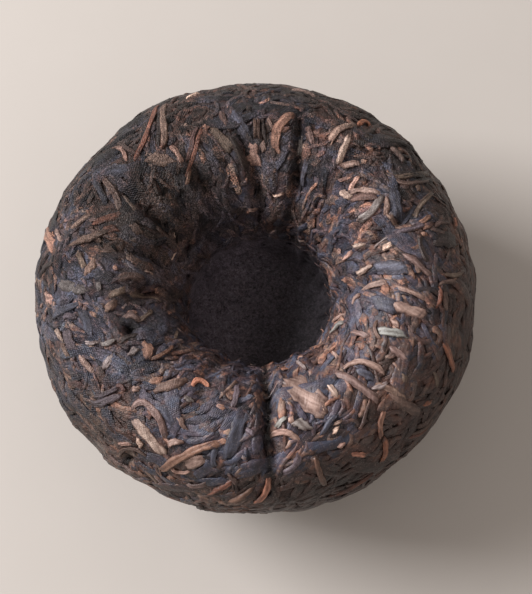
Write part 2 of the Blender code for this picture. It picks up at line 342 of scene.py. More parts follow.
def newTree(name, kind, inputs, outputs):
    # an input has its name and its value, which is None for a thing, and an output its name
    tree = bpy.data.node_groups.new(name, kind)
    for socketName, value in inputs.items():
        socketKind = "NodeSocket" + socketKinds[socketName if value is None else type(value)]
        socket = tree.interface.new_socket(socketName, in_out="INPUT", socket_type=socketKind)
        if value is not None:
            socket.default_value = value
    for socketName in outputs:
        socketKind = "NodeSocket" + socketKinds.get(socketName, "Float")
        tree.interface.new_socket(socketName, in_out="OUTPUT", socket_type=socketKind)
    return tree, addNode(tree, "NodeGroupInput"), tree.nodes.new("NodeGroupOutput").inputs


def addTree(maker, tree, values):
    # a modifier's inputs are set by the socket's identifier, before the first evaluation
    modifier = maker.modifiers.new(tree.name, "NODES")
    modifier.node_group = tree
    for item in tree.interface.items_tree:
        if item.in_out == "INPUT" and item.name in values:
            modifier[item.identifier] = values[item.name]


def makeBlank(name, sides, spans, backSides):
    # a closed bar that strips are pressed from: across and rise run round the section, most of it on
    # the upper side, and along runs end to end, with its rows closer together towards the ends
    bar = bmesh.new()
    bmesh.ops.create_cone(bar, cap_ends=True, segments=sides, radius1=1, radius2=1, depth=1)
    longEdges = [edge for edge in bar.edges if abs(edge.verts[0].co.z - edge.verts[1].co.z) > 0.5]
    bmesh.ops.subdivide_edges(bar, edges=longEdges, cuts=spans - 1)
    bar.verts.ensure_lookup_table()
    step = math.tau / sides
    start = math.atan2(bar.verts[0].co.y, bar.verts[0].co.x)
    places = [round((math.atan2(v.co.y, v.co.x) - start) / step) % sides for v in bar.verts]
    topSides = sides - backSides
    uvLayer = bar.loops.layers.uv.new("OFBake")
    for face in bar.faces:
        isCap = len(face.verts) == sides
        wraps = not isCap and {places[v.index] for v in face.verts} == {0, sides - 1}
        for loop in face.loops:
            place = places[loop.vert.index]
            along = loop.vert.co.z + 0.5
            if isCap:
                turn = place * step
                loop[uvLayer].uv = (0.5 + 0.4 * math.cos(turn), 0.04 + 0.92 * along + 0.02 * math.sin(turn))
            else:
                place = sides if wraps and place == 0 else place
                loop[uvLayer].uv = (0.04 + 0.92 * place / sides, 0.10 + 0.80 * along)
    rows = []
    for vertex, place in zip(bar.verts, places):
        onTop = place <= topSides
        turn = math.pi * (place / topSides if onTop else 1 + (place - topSides) / backSides)
        sideways, upright = math.cos(turn), math.sin(turn)
        share = vertex.co.z + 0.5
        rows.append({
            "across": math.copysign(abs(sideways) ** 0.85, sideways),
            "rise": math.copysign(abs(upright) ** 0.8, upright) if abs(upright) > 0.001 else 0.0,
            "along": 0.35 * share + 0.65 * (0.5 - 0.5 * math.cos(math.pi * share)),
        })
    mesh = bpy.data.meshes.new(name)
    bar.to_mesh(mesh)
    bar.free()
    addAttributes(mesh, rows)
    return addObject(name, mesh)


# sides and spans of each blank, and how many of the sides are on its back
blankSections = {
    "broad": (11, 16, 3), "wide": (8, 7, 2), "leaf": (7, 5, 2), "strand": (5, 8, 2),
    "shred": (4, 4, 1), "stalk": (6, 6, 2), "chip": (6, 3, 2), "fibre": (4, 6, 2),
}
blanks = {name: makeBlank(name + "Blank", *section) for name, section in blankSections.items()}


def buildSowing():
    # sows the middle of each strip over the form, with its size, heading and chance values
    tree, given, result = newTree("sowing", "GeometryNodeTree", {
        "Geometry": None, "Room": "room", "Strips Per Area": 60000.0, "Spacing": 0.002,
        "Least Length": 0.006, "Most Length": 0.014, "Least Width": 0.0014, "Most Width": 0.003,
        "Least Thick": 0.0003, "Most Thick": 0.0005, "Least Top": 0.0001, "Most Top": 0.0004,
        "Curl": 0.9,  # how far each half turns at most, in radians
        "Stray": 1.0, "Seed": 1,
    }, ["Geometry"])
    sown = addNode(tree, "GeometryNodeDistributePointsOnFaces", {
        "Mesh": given["Geometry"], "Distance Min": given["Spacing"], "Density Max": given["Strips Per Area"],
        "Density Factor": readAttribute(tree, given["Room"]), "Seed": given["Seed"],
    }, distribute_method="POISSON")
    place = addNode(tree, "GeometryNodeInputPosition")[0]

    def chance(low, high, offset):
        # the offset keeps each value's chances its own
        inputs = {2: low, 3: high, 8: given["Seed"] + offset}
        return addNode(tree, "FunctionNodeRandomValue", inputs, data_type="FLOAT")[1]

    def between(measure, offset, power):
        low, high = given["Least " + measure], given["Most " + measure]
        return low + chance(0.0, 1.0, offset) ** power * (high - low)

    length = between("Length", 40, 1.6)

    def curl(offset):
        # one over the radius of half a strip, never quite nought
        return chance(-1.0, 1.0, offset) * given["Curl"] * 2.0 / length + 1.0

    up = sown["Normal"]
    around = calc("NORMALIZE", calc("CROSS_PRODUCT", (0.0, 0.0, 1.0), place))
    uphill = calc("CROSS_PRODUCT", up, around)
    stray = chance(-1.0, 1.0, 20) * readAttribute(tree, "stray") * given["Stray"]
    turn = readAttribute(tree, "flow") + stray
    points = sown["Points"]
    for name, value in {
        "place": place, "up": up, "heading": around * calc("COSINE", turn) + uphill * calc("SINE", turn),
        "leafLength": length, "leafWidth": between("Width", 41, 1.5), "leafThick": between("Thick", 42, 1.0),
        "leafTop": between("Top", 43, 1.0), "curlBack": curl(44), "curlAhead": curl(48),
        "leafJoint": chance(0.3, 0.7, 49), "leafTone": chance(0.0, 1.0, 45),
        "leafTilt": chance(-1.0, 1.0, 46), "leafSeed": chance(0.0, 90.0, 47),
        "leafIndex": addNode(tree, "GeometryNodeInputIndex")[0],
    }.items():
        points = storeAttribute(points, name, value, "FLOAT_VECTOR" if value.isVector else "FLOAT")
    feed(result, {"Geometry": points})
    return tree


def buildPressing():
    # presses a blank along the form at every sown place
    tree, given, result = newTree("pressing", "GeometryNodeTree", {
        "Geometry": None, "Form": None, "Blank": None, "Tip Width": 0.35, "Tip Power": 6.0,
        "Furrow": 0.45, "Ridges": 1.5, "Twist": 2.5, "Tilt": 0.16, "Oblique": 0.6, "Torn": 0.5,
        "Ragged": 0.75, "Wander": 0.10, "Crumple": 0.00025, "Crumple Size": 0.0017,
        "Tuck": 0.00035, "Stand": 0.0, "Calm Share": 0.65, "Calm Height": 0.0003,
        "Least Ground": 0.00003, "Ground Spread": 0.00012, "Ground Thick": 0.0001,
        "Tiles": 36.0,  # tiles of the OFBake map in a row
        "Material": None,
    }, ["Geometry"])
    formMesh = addNode(tree, "GeometryNodeObjectInfo", {"Object": given["Form"]})["Geometry"]
    blank = addNode(tree, "GeometryNodeObjectInfo", {"Object": given["Blank"]})["Geometry"]
    inputs = {"Points": given["Geometry"], "Instance": blank}
    instances = addNode(tree, "GeometryNodeInstanceOnPoints", inputs)[0]
    bars = addNode(tree, "GeometryNodeRealizeInstances", {"Geometry": instances})[0]

    def own(name, kind="FLOAT"):
        return readAttribute(tree, name, kind)

    def wave(vector, seed, amplitude):
        # noise from -1 to 1 times the amplitude
        inputs = {"Vector": vector, "W": seed, "Scale": 1.0, "Detail": 1.0}
        ripple = addNode(tree, "ShaderNodeTexNoise", inputs, noise_dimensions="4D")["Fac"]
        return (ripple * 2.0 - 1.0) * amplitude

    up, heading = own("up", "FLOAT_VECTOR"), own("heading", "FLOAT_VECTOR")
    length, thick, seed = own("leafLength"), own("leafThick"), own("leafSeed")
    along, across = own("along"), own("across")
    sideways = calc("CROSS_PRODUCT", up, heading)
    fromMiddle = calc("ABSOLUTE", along * 2.0 - 1.0)
    endShare = fromMiddle ** (given["Tip Power"] * (own("leafTone") + 0.45))

    # middle line: one arc back from the joint and one ahead of it
    run = (along - own("leafJoint")) * length
    back, ahead = own("curlBack"), own("curlAhead")
    curl = back + (ahead - back) * calc("GREATER_THAN", run, 0.0)
    turned = curl * run
    sine, cosine = calc("SINE", turned), calc("COSINE", turned)

    # outline: each edge is ragged in its own way, and the whole wanders a little
    rounding = 1.0 - (1.0 - endShare) ** 0.5
    narrowing = 1.0 - (1.0 - given["Tip Width"]) * rounding
    raggedness = 1.0 + wave(combined(along * 5.0, across * 0.8), seed, given["Ragged"])
    halfWidth = own("leafWidth") * 0.5 * narrowing * raggedness
    wander = wave(combined(along * 2.4), seed + 31.0, given["Wander"]) * length
    offSide = across * halfWidth
    slant = given["Oblique"] * calc("SINE", seed) * offSide
    torn = wave(combined(across * 1.7, 0.0, along), seed, given["Torn"]) * endShare * own("leafWidth")
    runOut = sine / curl + (slant * cosine - offSide * sine) + torn
    sideOut = (1.0 - cosine) / curl + (slant * sine + offSide * cosine) + wander
    flat = own("place", "FLOAT_VECTOR") + heading * runOut + sideways * sideOut

    inputs = {"Geometry": formMesh, "Sample Position": flat}
    nearest = addNode(tree, "GeometryNodeProximity", inputs, target_element="FACES")["Position"]

    def sampled(name, kind="FLOAT_VECTOR"):
        inputs = {"Mesh": formMesh, "Value": own(name, kind), "Sample Position": flat}
        return addNode(tree, "GeometryNodeSampleNearestSurface", inputs, data_type=kind)["Value"]

    # section: long ridges over a thin bar, thinner towards its ends, which are tucked under
    twist = along * given["Twist"] * calc("COSINE", seed)
    furrow = calc("COSINE", across * given["Ridges"] * math.pi + (seed + twist)) * -0.5 + 0.5
    creased = 1.0 - furrow * given["Furrow"]
    rise = own("rise") * creased * (1.0 - endShare * 0.5)
    height = own("leafTop") - thick * 0.5 * (1.0 - rise)
    height = height + given["Tilt"] * own("leafTilt") * across * halfWidth
    height = height + wave(flat * (1.0 / given["Crumple Size"]), seed, given["Crumple"])
    height = height + given["Stand"] * own("leafTone") * along * along

    # in the calm part of the funnel and in the pit, the strips lie closer to one height
    unevenness = 1.0 - sampled("settled", "FLOAT") * given["Calm Share"]
    height = (height - given["Calm Height"]) * unevenness + given["Calm Height"]
    height = height - given["Tuck"] * endShare * (own("leafTilt") * 0.5 + 1.0)
    normal = calc("NORMALIZE", sampled("outward"))
    pressed = nearest + sampled("press") + normal * height

    # nothing reaches below what the cake rests on
    ground = own("leafTone") * given["Ground Spread"] + given["Least Ground"]
    ground = ground + (given["Ground Thick"] - own("rise") * given["Ground Thick"])
    x, y, z = separated(pressed)
    standing = combined(x, y, calc("MAXIMUM", z, ground))
    strips = addNode(tree, "GeometryNodeSetPosition", {"Geometry": bars, "Position": standing})[0]

    # for the grain: millimetres across and along each strip, and shares across, along and up
    grain = combined(across * halfWidth * 1000.0, along * length * 1000.0, seed)
    strips = storeAttribute(strips, "grain", grain, "FLOAT_VECTOR")
    strips = storeAttribute(strips, "span", combined(across, along, creased), "FLOAT_VECTOR")

    # one tile of the OFBake map for each strip
    index = own("leafIndex")
    corner = combined(calc("MODULO", index, given["Tiles"]), calc("FLOOR", index / given["Tiles"]))
    tile = (own("OFBake", "FLOAT_VECTOR") + corner) * (1.0 / given["Tiles"])
    strips = storeAttribute(strips, "OFBake", tile, "FLOAT2", "CORNER")

    smooth = addNode(tree, "GeometryNodeSetShadeSmooth", {"Geometry": strips})[0]
    inputs = {"Geometry": smooth, "Material": given["Material"]}
    feed(result, {"Geometry": addNode(tree, "GeometryNodeSetMaterial", inputs)[0]})
    return tree


sowing = buildSowing()
pressing = buildPressing()

makingOnly = (  # attributes that nothing reads once a piece is made
    "across", "rise", "along", "place", "up", "heading", "leafLength", "leafWidth", "leafThick", "leafTop",
    "curlBack", "curlAhead", "leafJoint", "leafTilt", "leafSeed", "leafIndex", "outward", "press", "flow",
    "stray", "room", "paleRoom", "flatRoom", "settled", "lip",
)


def finishPiece(piece):
    for layer in makingOnly:
        if layer in piece.data.attributes:
            piece.data.attributes.remove(piece.data.attributes[layer])
    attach(piece, "root")
    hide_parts("tuocha")
    print(piece.name, len(piece.data.polygons), "faces")
    return piece


def growStrips(name, seeds, blank, material, shape, sowingValues=None):
    maker = addObject(name, seeds)
    if sowingValues is not None:
        addTree(maker, sowing, sowingValues)
    addTree(maker, pressing, {"Form": form, "Blank": blanks[blank], "Material": material, **shape})
    return finishPiece(plainMesh(name, maker))


view = {  # the photograph's viewing angle
    "elevation": 74, "distance": 0.33, "lens": 103.8, "sensor": 36.0,
    "aimAcross": 0.0020, "aimUp": 0.0011,  # of the picture's middle, from the cake's
    "middleHeight": 0.024,
    "pictureWidth": 532, "pictureHeight": 594,
}


def makeCamera():
    tilt = math.radians(view["elevation"])
    pictureUp = Vector((0, math.sin(tilt), math.cos(tilt)))
    back = Vector((0, -math.cos(tilt), math.sin(tilt)))
    aim = Vector((view["aimAcross"], 0, view["middleHeight"])) + pictureUp * view["aimUp"]
    camera = addObject("photoView", bpy.data.cameras.new("photoView"))
    camera.data.lens = view["lens"]
    camera.data.sensor_width = view["sensor"]
    camera.location = aim + back * view["distance"]
    camera.rotation_euler = (math.pi / 2 - tilt, 0, 0)
    bpy.context.scene.camera = camera
    return camera.location.copy(), back, pictureUp


eye, eyeBack, pictureUp = makeCamera()


def placeInPicture(pixel, top):
    # the place on the form whose leaf top, pressed with the form, is seen at a pixel of the photograph
    perPixel = view["sensor"] / view["lens"] / view["pictureHeight"]
    across = (pixel[0] - view["pictureWidth"] / 2) * perPixel
    upwards = (view["pictureHeight"] / 2 - pixel[1]) * perPixel
    sight = (Vector((across, 0, 0)) + pictureUp * upwards - eyeBack).normalized()
    moved = Vector((0, 0, 0))
    for _ in range(5):
        hit, place, outward, face = form.ray_cast(eye - moved, sight)
        if not hit:
            nearest = eye - moved + sight * view["distance"]
            _, place, outward, face = form.closest_point_on_mesh(nearest)
        corner = form.data.polygons[face].vertices[0]
        moved = form.data.attributes["press"].data[corner].vector + outward * top
    return place


def addGroup(tree, group, values=None):
    return addNode(tree, "ShaderNodeGroup", values, node_tree=group)


def attributeOf(tree, name, output="Vector"):
    return addNode(tree, "ShaderNodeAttribute", attribute_name=name)[output]


def placeOnCake(tree):
    # the place whole and in its parts, and how far it is from the cake's axis
    place = addNode(tree, "ShaderNodeTexCoord")["Object"]
    x, y, z = separated(place)
    return place, x, y, z, calc("SQRT", x * x + y * y)


def mixColours(tree, factor, first, second, blend="MIX"):
    inputs = {0: factor, 6: first, 7: second}
    return addNode(tree, "ShaderNodeMix", inputs, data_type="RGBA", blend_type=blend)[2]


def mapped(value, fromLow, fromHigh, toLow=0.0, toHigh=1.0):
    inputs = {0: value, 1: fromLow, 2: fromHigh, 3: toLow, 4: toHigh}
    return addNode(value.tree, "ShaderNodeMapRange", inputs)[0]


def eased(value, low, high):
    inputs = {0: value, 1: low, 2: high}
    return addNode(value.tree, "ShaderNodeMapRange", inputs, interpolation_type="SMOOTHSTEP")[0]


def noiseAt(vector, scale, detail=2.0, distortion=0.0):
    inputs = {"Vector": vector, "Scale": scale, "Detail": detail, "Distortion": distortion}
    return addNode(vector.tree, "ShaderNodeTexNoise", inputs)["Fac"]


def colourRamp(factor, *stops):
    outputs = addNode(factor.tree, "ShaderNodeValToRGB", {0: factor})
    elements = outputs.node.color_ramp.elements
    while len(elements) < len(stops):
        elements.new(1.0)
    for element, (place, colour) in zip(elements, stops):
        element.position = place
        element.color = (*colour, 1)
    return outputs[0]


def patchMask(flat, patch, sharpness=1.0):
    # 1 in the middle of a round patch, falling to 0 past its radius
    near = calc("DISTANCE", flat, patch["middle"]) / patch["radius"]
    return calc("EXPONENT", near * near * -sharpness)


def buildLeafGrain():
    # streaks along a strip, blotches over it, wrinkles across it, and how far in from its rim a place is
    tree, given, result = newTree("leafGrain", "ShaderNodeTree", {
        "Streak Width": 0.22, "Streak Length": 2.0, "Blotch Size": 1.1,
    }, ["Streak", "Blotch", "Wrinkle", "Inside"])
    x, y, seed = separated(attributeOf(tree, "grain"))
    twisted = x + y * calc("SINE", seed) * 0.3
    streakPlace = combined(twisted / given["Streak Width"], y / given["Streak Length"], seed)
    blotchPlace = combined(x / given["Blotch Size"], y / given["Blotch Size"], seed * 3.7)
    wrinklePlace = combined(x * 0.4, y * 1.7, seed)
    across, along, _ = separated(attributeOf(tree, "span"))
    sides = calc("ABSOLUTE", across) ** 3.0
    ends = calc("ABSOLUTE", along * 2.0 - 1.0) ** 3.0
    feed(result, {
        "Streak": noiseAt(streakPlace, 1.0, 3.0), "Blotch": noiseAt(blotchPlace, 1.0),
        "Wrinkle": noiseAt(wrinklePlace, 1.0, 2.0, 0.6), "Inside": 1.0 - calc("MAXIMUM", sides, ends),
    })
    return tree


def buildClothPrint():
    # what the weave of the pressing bag left on the flat leaves, in patches
    tree, given, result = newTree("clothPrint", "ShaderNodeTree", {
        "Threads Round": 480.0, "Threads Over": 232.0, "Ring Radius": 0.025, "Ring Height": 0.026,
        "Patch Size": 0.007, "Inner Radius": 0.008, "Outer Radius": 0.015,
    }, ["Print", "Patch"])
    place, x, y, z, radius = placeOnCake(tree)
    sway = noiseAt(place, 120.0, 1.0) * 5.0
    over = calc("ARCTAN2", z - given["Ring Height"], radius - given["Ring Radius"])
    weft = calc("SINE", calc("ARCTAN2", y, x) * given["Threads Round"] + sway)
    warp = calc("SINE", over * given["Threads Over"] + sway)
    patch = noiseAt(place * (1.0 / given["Patch Size"]), 1.0, 1.0)
    outside = mapped(radius, given["Inner Radius"], given["Outer Radius"])
    feed(result, {"Print": weft * warp * 0.5 + 0.5, "Patch": mapped(patch, 0.42, 0.56) * outside})
    return tree


def buildPressedDust():
    # specks and fine crumbs rubbed over everything, more of them towards the rough side
    tree, given, result = newTree("pressedDust", "ShaderNodeTree", {
        "Speck Size": 0.00022, "Rough Side": (-10.0, 15.0, 0.0), "Least Rough": 0.20, "Most Rough": 2.7,
    }, ["Speck", "Crumb", "Rough"])
    place = placeOnCake(tree)[0]
    towards = calc("DOT_PRODUCT", place, given["Rough Side"])
    fine = place * (1.0 / given["Speck Size"])
    feed(result, {
        "Speck": noiseAt(fine, 1.0), "Crumb": noiseAt(fine, 0.45, 2.0, 0.8),
        "Rough": mapped(towards, -0.45, 0.45, given["Least Rough"], given["Most Rough"]),
    })
    return tree


# browner leaves, or bluer where the strength is below nought
warmPatches = patches(
    (-0.0220, 0.0150, 0.0100, 1.10), (-0.0140, 0.0310, 0.0065, 1.20), (0.0155, 0.0310, 0.0065, 1.10),
    (0.0260, -0.0260, 0.0090, 1.10), (-0.0280, -0.0290, 0.0060, 1.10), (0.0225, -0.0065, 0.0050, -0.80),
    (0.0120, -0.0240, 0.0060, -0.70), (-0.0360, -0.0065, 0.0050, -0.80), (-0.0065, 0.0125, 0.0050, -0.80),
    (-0.0065, -0.0330, 0.0060, -0.60),
)

# from black to pale, in the cool leaves and in the warm ones
coolStops = (
    (0.0, (0.015, 0.013, 0.018)), (0.3, (0.032, 0.031, 0.044)), (0.55, (0.058, 0.058, 0.087)),
    (0.78, (0.094, 0.096, 0.136)), (1.0, (0.185, 0.186, 0.222)),
)
warmStops = (
    (0.0, (0.022, 0.013, 0.011)), (0.3, (0.053, 0.032, 0.028)), (0.55, (0.102, 0.063, 0.056)),
    (0.78, (0.184, 0.110, 0.086)), (1.0, (0.320, 0.203, 0.156)),
)


def buildTeaColour():
    # level and warmth drift over the cake, so that neighbours blend into each other; towards one side and its
    # rim the warmth is painted warm bounce light
    tree, given, result = newTree("teaColour", "ShaderNodeTree", {
        "Level": 0.5, "Warmth": 0.3, "Drift Size": 0.0065, "Mottle Size": 0.0010,
        "Level Drift": 0.9, "Warmth Drift": 2.4, "Mottle": 1.8,
        "Warm Bounce Side": (6.8, -1.8, 0.0), "Dark Side": (3.0, -7.0, 0.0), "Light Side": (-2.6, 0.8, 0.0),
        "Plain Side": (0.72, -0.69, 0.0), "Plain From": 0.022, "Plain To": 0.036,
        "Plain Level": 0.44, "Plain Share": 0.38,
        "Rim From": 0.034, "Rim To": 0.041, "Rim Bounce Warmth": 2.5, "Blush Scale": 0.45,
    }, ["Colour"])
    place, x, y, _, radius = placeOnCake(tree)
    slow = place * (1.0 / given["Drift Size"])
    close = place * (1.0 / given["Mottle Size"])
    mottle = noiseAt(close, 1.0, 3.0, 0.5) - 0.5
    level = given["Level"] + calc("MINIMUM", calc("DOT_PRODUCT", place, given["Dark Side"]), 0.0)
    level = level + (noiseAt(slow, 1.0) - 0.5) * given["Level Drift"] + mottle * (given["Mottle"] * 0.5)
    level = level + calc("MAXIMUM", calc("DOT_PRODUCT", place, given["Light Side"]), 0.0)
    toPlain = calc("DOT_PRODUCT", place, given["Plain Side"])
    plain = eased(toPlain, given["Plain From"], given["Plain To"]) * given["Plain Share"]
    level = level + plain * (given["Plain Level"] - level)
    # painted warm bounce light: warmer towards the right and cooler towards the left, most of all on the rim
    # on the warm side
    toWarmBounce = calc("DOT_PRODUCT", place, given["Warm Bounce Side"])
    rim = eased(radius, given["Rim From"], given["Rim To"]) * mapped(toWarmBounce, -0.10, 0.26, 0.15, 1.0)
    warmthDrift = noiseAt(slow + (7.0, 3.0, 5.0), 1.3) - 0.5
    warmth = given["Warmth"] + toWarmBounce + rim * given["Rim Bounce Warmth"]
    warmth = warmth + warmthDrift * given["Warmth Drift"] + mottle * given["Mottle"]
    flat = combined(x, y)
    for patch in warmPatches:
        warmth = warmth + patchMask(flat, patch) * patch["strength"]
    cool, warm = colourRamp(level, *coolStops), colourRamp(level, *warmStops)
    colour = mixColours(tree, mapped(warmth, 0.0, 1.0), cool, warm)
    blush = noiseAt(close + (2.0, 9.0, 4.0), given["Blush Scale"])
    blushed = colourRamp(blush, (0.38, (1.16, 0.93, 0.84)), (0.62, (0.92, 1.02, 1.06)))
    feed(result, {"Colour": mixColours(tree, 1.0, colour, blushed, "MULTIPLY")})
    return tree


def buildFoldCleft():
    # 1 in the bottom of one fold, which runs between two radii and two angles, to 0 beside it, where shade is
    # painted into the cleft
    tree, given, result = newTree("foldCleft", "ShaderNodeTree", {
        "Inner Angle": 0.0, "Outer Angle": 0.0, "Inner Radius": 0.014, "Outer Radius": 0.035,
        "Half Width": 0.0006, "Sway": 0.0016, "Start": 0.002, "Runout": 0.005,
    }, ["Cleft"])
    place, x, y, _, radius = placeOnCake(tree)
    inner, outer = given["Inner Radius"], given["Outer Radius"]
    spread = given["Outer Angle"] - given["Inner Angle"]
    middle = mapped(radius, inner, outer) * spread + given["Inner Angle"]
    turn = calc("WRAP", calc("ARCTAN2", y, x) - middle, math.pi, -math.pi)
    sway = (noiseAt(place, 260.0) - 0.5) * given["Sway"]
    across = (turn * radius + sway) / given["Half Width"]
    narrow = calc("EXPONENT", across * across * -1.0)
    starts = mapped(radius, inner, inner + given["Start"])
    ends = mapped(radius, outer, outer - given["Runout"])
    feed(result, {"Cleft": narrow * starts * ends})
    return tree


# painted shade, or painted light where the strength is below nought, in round patches
paintedShadeAndLight = patches(
    (-0.0265, 0.0130, 0.0130, 0.51), (0.0300, 0.0200, 0.0095, 0.38), (-0.0262, 0.0085, 0.0040, 0.30),
    (-0.0310, -0.0235, 0.0065, 0.44), (-0.0200, -0.0145, 0.0050, 0.38), (-0.0370, -0.0145, 0.0040, 0.25),
    (0.0130, -0.0350, 0.0050, 0.28), (0.0370, -0.0040, 0.0040, 0.25), (-0.0385, 0.0090, 0.0062, -0.60),
    (0.0150, 0.0250, 0.0045, -0.50), (-0.0140, 0.0345, 0.0060, -0.36), (0.0080, -0.0280, 0.0040, -0.60),
    (-0.0045, 0.0125, 0.0048, -0.50), (0.0190, 0.0140, 0.0040, -0.40), (-0.0255, -0.0020, 0.0050, -0.35),
    (0.0137, 0.0192, 0.0040, -0.42), (0.0055, -0.0330, 0.0040, -0.45), (-0.0255, -0.0095, 0.0030, -0.30),
    (0.0190, 0.0100, 0.0035, -0.30), (-0.0300, -0.0180, 0.0030, -0.32), (-0.0360, 0.0040, 0.0050, -0.30),
    (-0.0300, -0.0285, 0.0040, 0.33), (-0.0192, -0.0190, 0.0035, 0.26), (-0.0247, 0.0055, 0.0030, 0.28),
    (0.0082, 0.0145, 0.0030, 0.26), (0.0027, -0.0236, 0.0035, 0.26), (0.0356, -0.0093, 0.0035, 0.26),
    (0.0082, -0.0405, 0.0040, 0.26), (-0.0025, 0.0072, 0.0055, 0.15), (-0.0125, 0.0040, 0.0035, -0.25),
)


def buildHollowShade():
    # painted shade and light: how much of a place's colour is kept, less in the folds, holes and dark
    # patches, down in the hollow and at the rim, more above the throat and in light patches
    tree, given, result = newTree("hollowShade", "ShaderNodeTree", {
        "Pit Height": 0.0265, "Pit Radius": 0.0165, "Pit Edge": 0.014,
        "Lit Side": (0.94, -0.34, 0.0), "Lit From": -0.010, "Lit To": 0.010, "Lit Dark": 0.75,
        "Calm Side": (-0.766, 0.643, 0.0), "Calm From": 0.031, "Calm To": 0.023,
        "Rim From": 0.031, "Rim To": 0.041, "Rim Side": (0.13, -0.10, 0.0), "Rim Dark": 0.46,
        "Throat From": 0.0215, "Throat To": 0.0175, "Throat Light": 0.30,
        "Cleft From": 0.0240, "Cleft To": 0.0290, "Hole Painted Shade": 0.88,
    }, ["Kept", "Pit", "Calm"])
    place, x, y, z, radius = placeOnCake(tree)
    swayed = z + (noiseAt(place, 330.0, 3.0) - 0.5) * given["Pit Edge"]
    low = eased(swayed, given["Pit Height"] + 0.002, given["Pit Height"] - 0.003)
    within = mapped(radius, given["Pit Radius"] + 0.001, given["Pit Radius"])
    pit = low * within * mapped(z, 0.008, 0.010)
    # painted shade on the side of the pit that the light reaches
    lit = eased(calc("DOT_PRODUCT", place, given["Lit Side"]), given["Lit From"], given["Lit To"])
    kept = 1.0 - pit * lit * given["Lit Dark"]

    # painted shade in the clefts and the holes, none on the outer dome
    upper = mapped(z, given["Cleft From"], given["Cleft To"])
    for fold in folds:
        if fold["dark"]:
            (innerAngle, outerAngle), (innerRadius, outerRadius) = fold["angles"], fold["radii"]
            cleft = addGroup(tree, foldCleft, {
                "Inner Angle": math.radians(innerAngle), "Outer Angle": math.radians(outerAngle),
                "Inner Radius": innerRadius - 0.001, "Outer Radius": outerRadius + 0.002,
                "Half Width": fold["width"] * 0.55})[0]
            kept = (1.0 - cleft * upper * fold["dark"]) * kept
    flat = combined(x, y)
    for hole in holes:
        kept = (1.0 - patchMask(flat, hole, 0.7) * upper * given["Hole Painted Shade"]) * kept
    # painted shade and painted light, patch by patch
    for shade in paintedShadeAndLight:
        kept = (1.0 - patchMask(flat, shade) * shade["strength"]) * kept

    fromAxis = calc("MAXIMUM", radius, 0.001)
    # painted shade at the outer rim, more towards one side
    rim = eased(radius, given["Rim From"], given["Rim To"])
    sideDark = calc("DOT_PRODUCT", place, given["Rim Side"]) / fromAxis
    kept = kept * (1.0 - rim * (given["Rim Dark"] + sideDark))
    facing = mapped(calc("DOT_PRODUCT", place, given["Calm Side"]) / fromAxis, 0.05, 0.75)
    # painted light in a ring above the throat, on the calm side
    throat = eased(radius, given["Throat From"], given["Throat To"]) * facing * (1.0 - pit)
    calm = facing * eased(radius, given["Calm From"], given["Calm To"]) * mapped(z, 0.020, 0.026)
    feed(result, {"Kept": kept * (throat * given["Throat Light"] + 1.0), "Pit": pit, "Calm": calm})
    return tree


leafGrain = buildLeafGrain()
clothPrint = buildClothPrint()
pressedDust = buildPressedDust()
teaColour = buildTeaColour()
foldCleft = buildFoldCleft()
hollowShade = buildHollowShade()

# painted light: the calm funnel's and the pit's leaves are evened towards lighter colours that lift their
# shade, and pitEven evens out each leaf's shading in the pit; the pale specks are dust and painted glints
paintedLightAndDust = {
    "calm": (0.116, 0.083, 0.068, 1), "calmShare": 0.30,
    "pit": (0.180, 0.158, 0.190, 1), "pitCore": (0.172, 0.150, 0.180, 1), "pitShare": 0.88,
    "dust": (0.36, 0.30, 0.27, 1), "pitEven": 0.85,
}


def newMaterial(name, roughness, specular):
    material = bpy.data.materials.new(name)
    material.use_nodes = True
    shader = material.node_tree.nodes["Principled BSDF"].inputs
    feed(shader, {"Roughness": roughness, "Specular IOR Level": specular})
    return material, material.node_tree, shader


def addBump(tree, strength, distance, height):
    return addNode(tree, "ShaderNodeBump", {"Strength": strength, "Distance": distance, "Height": height})[0]


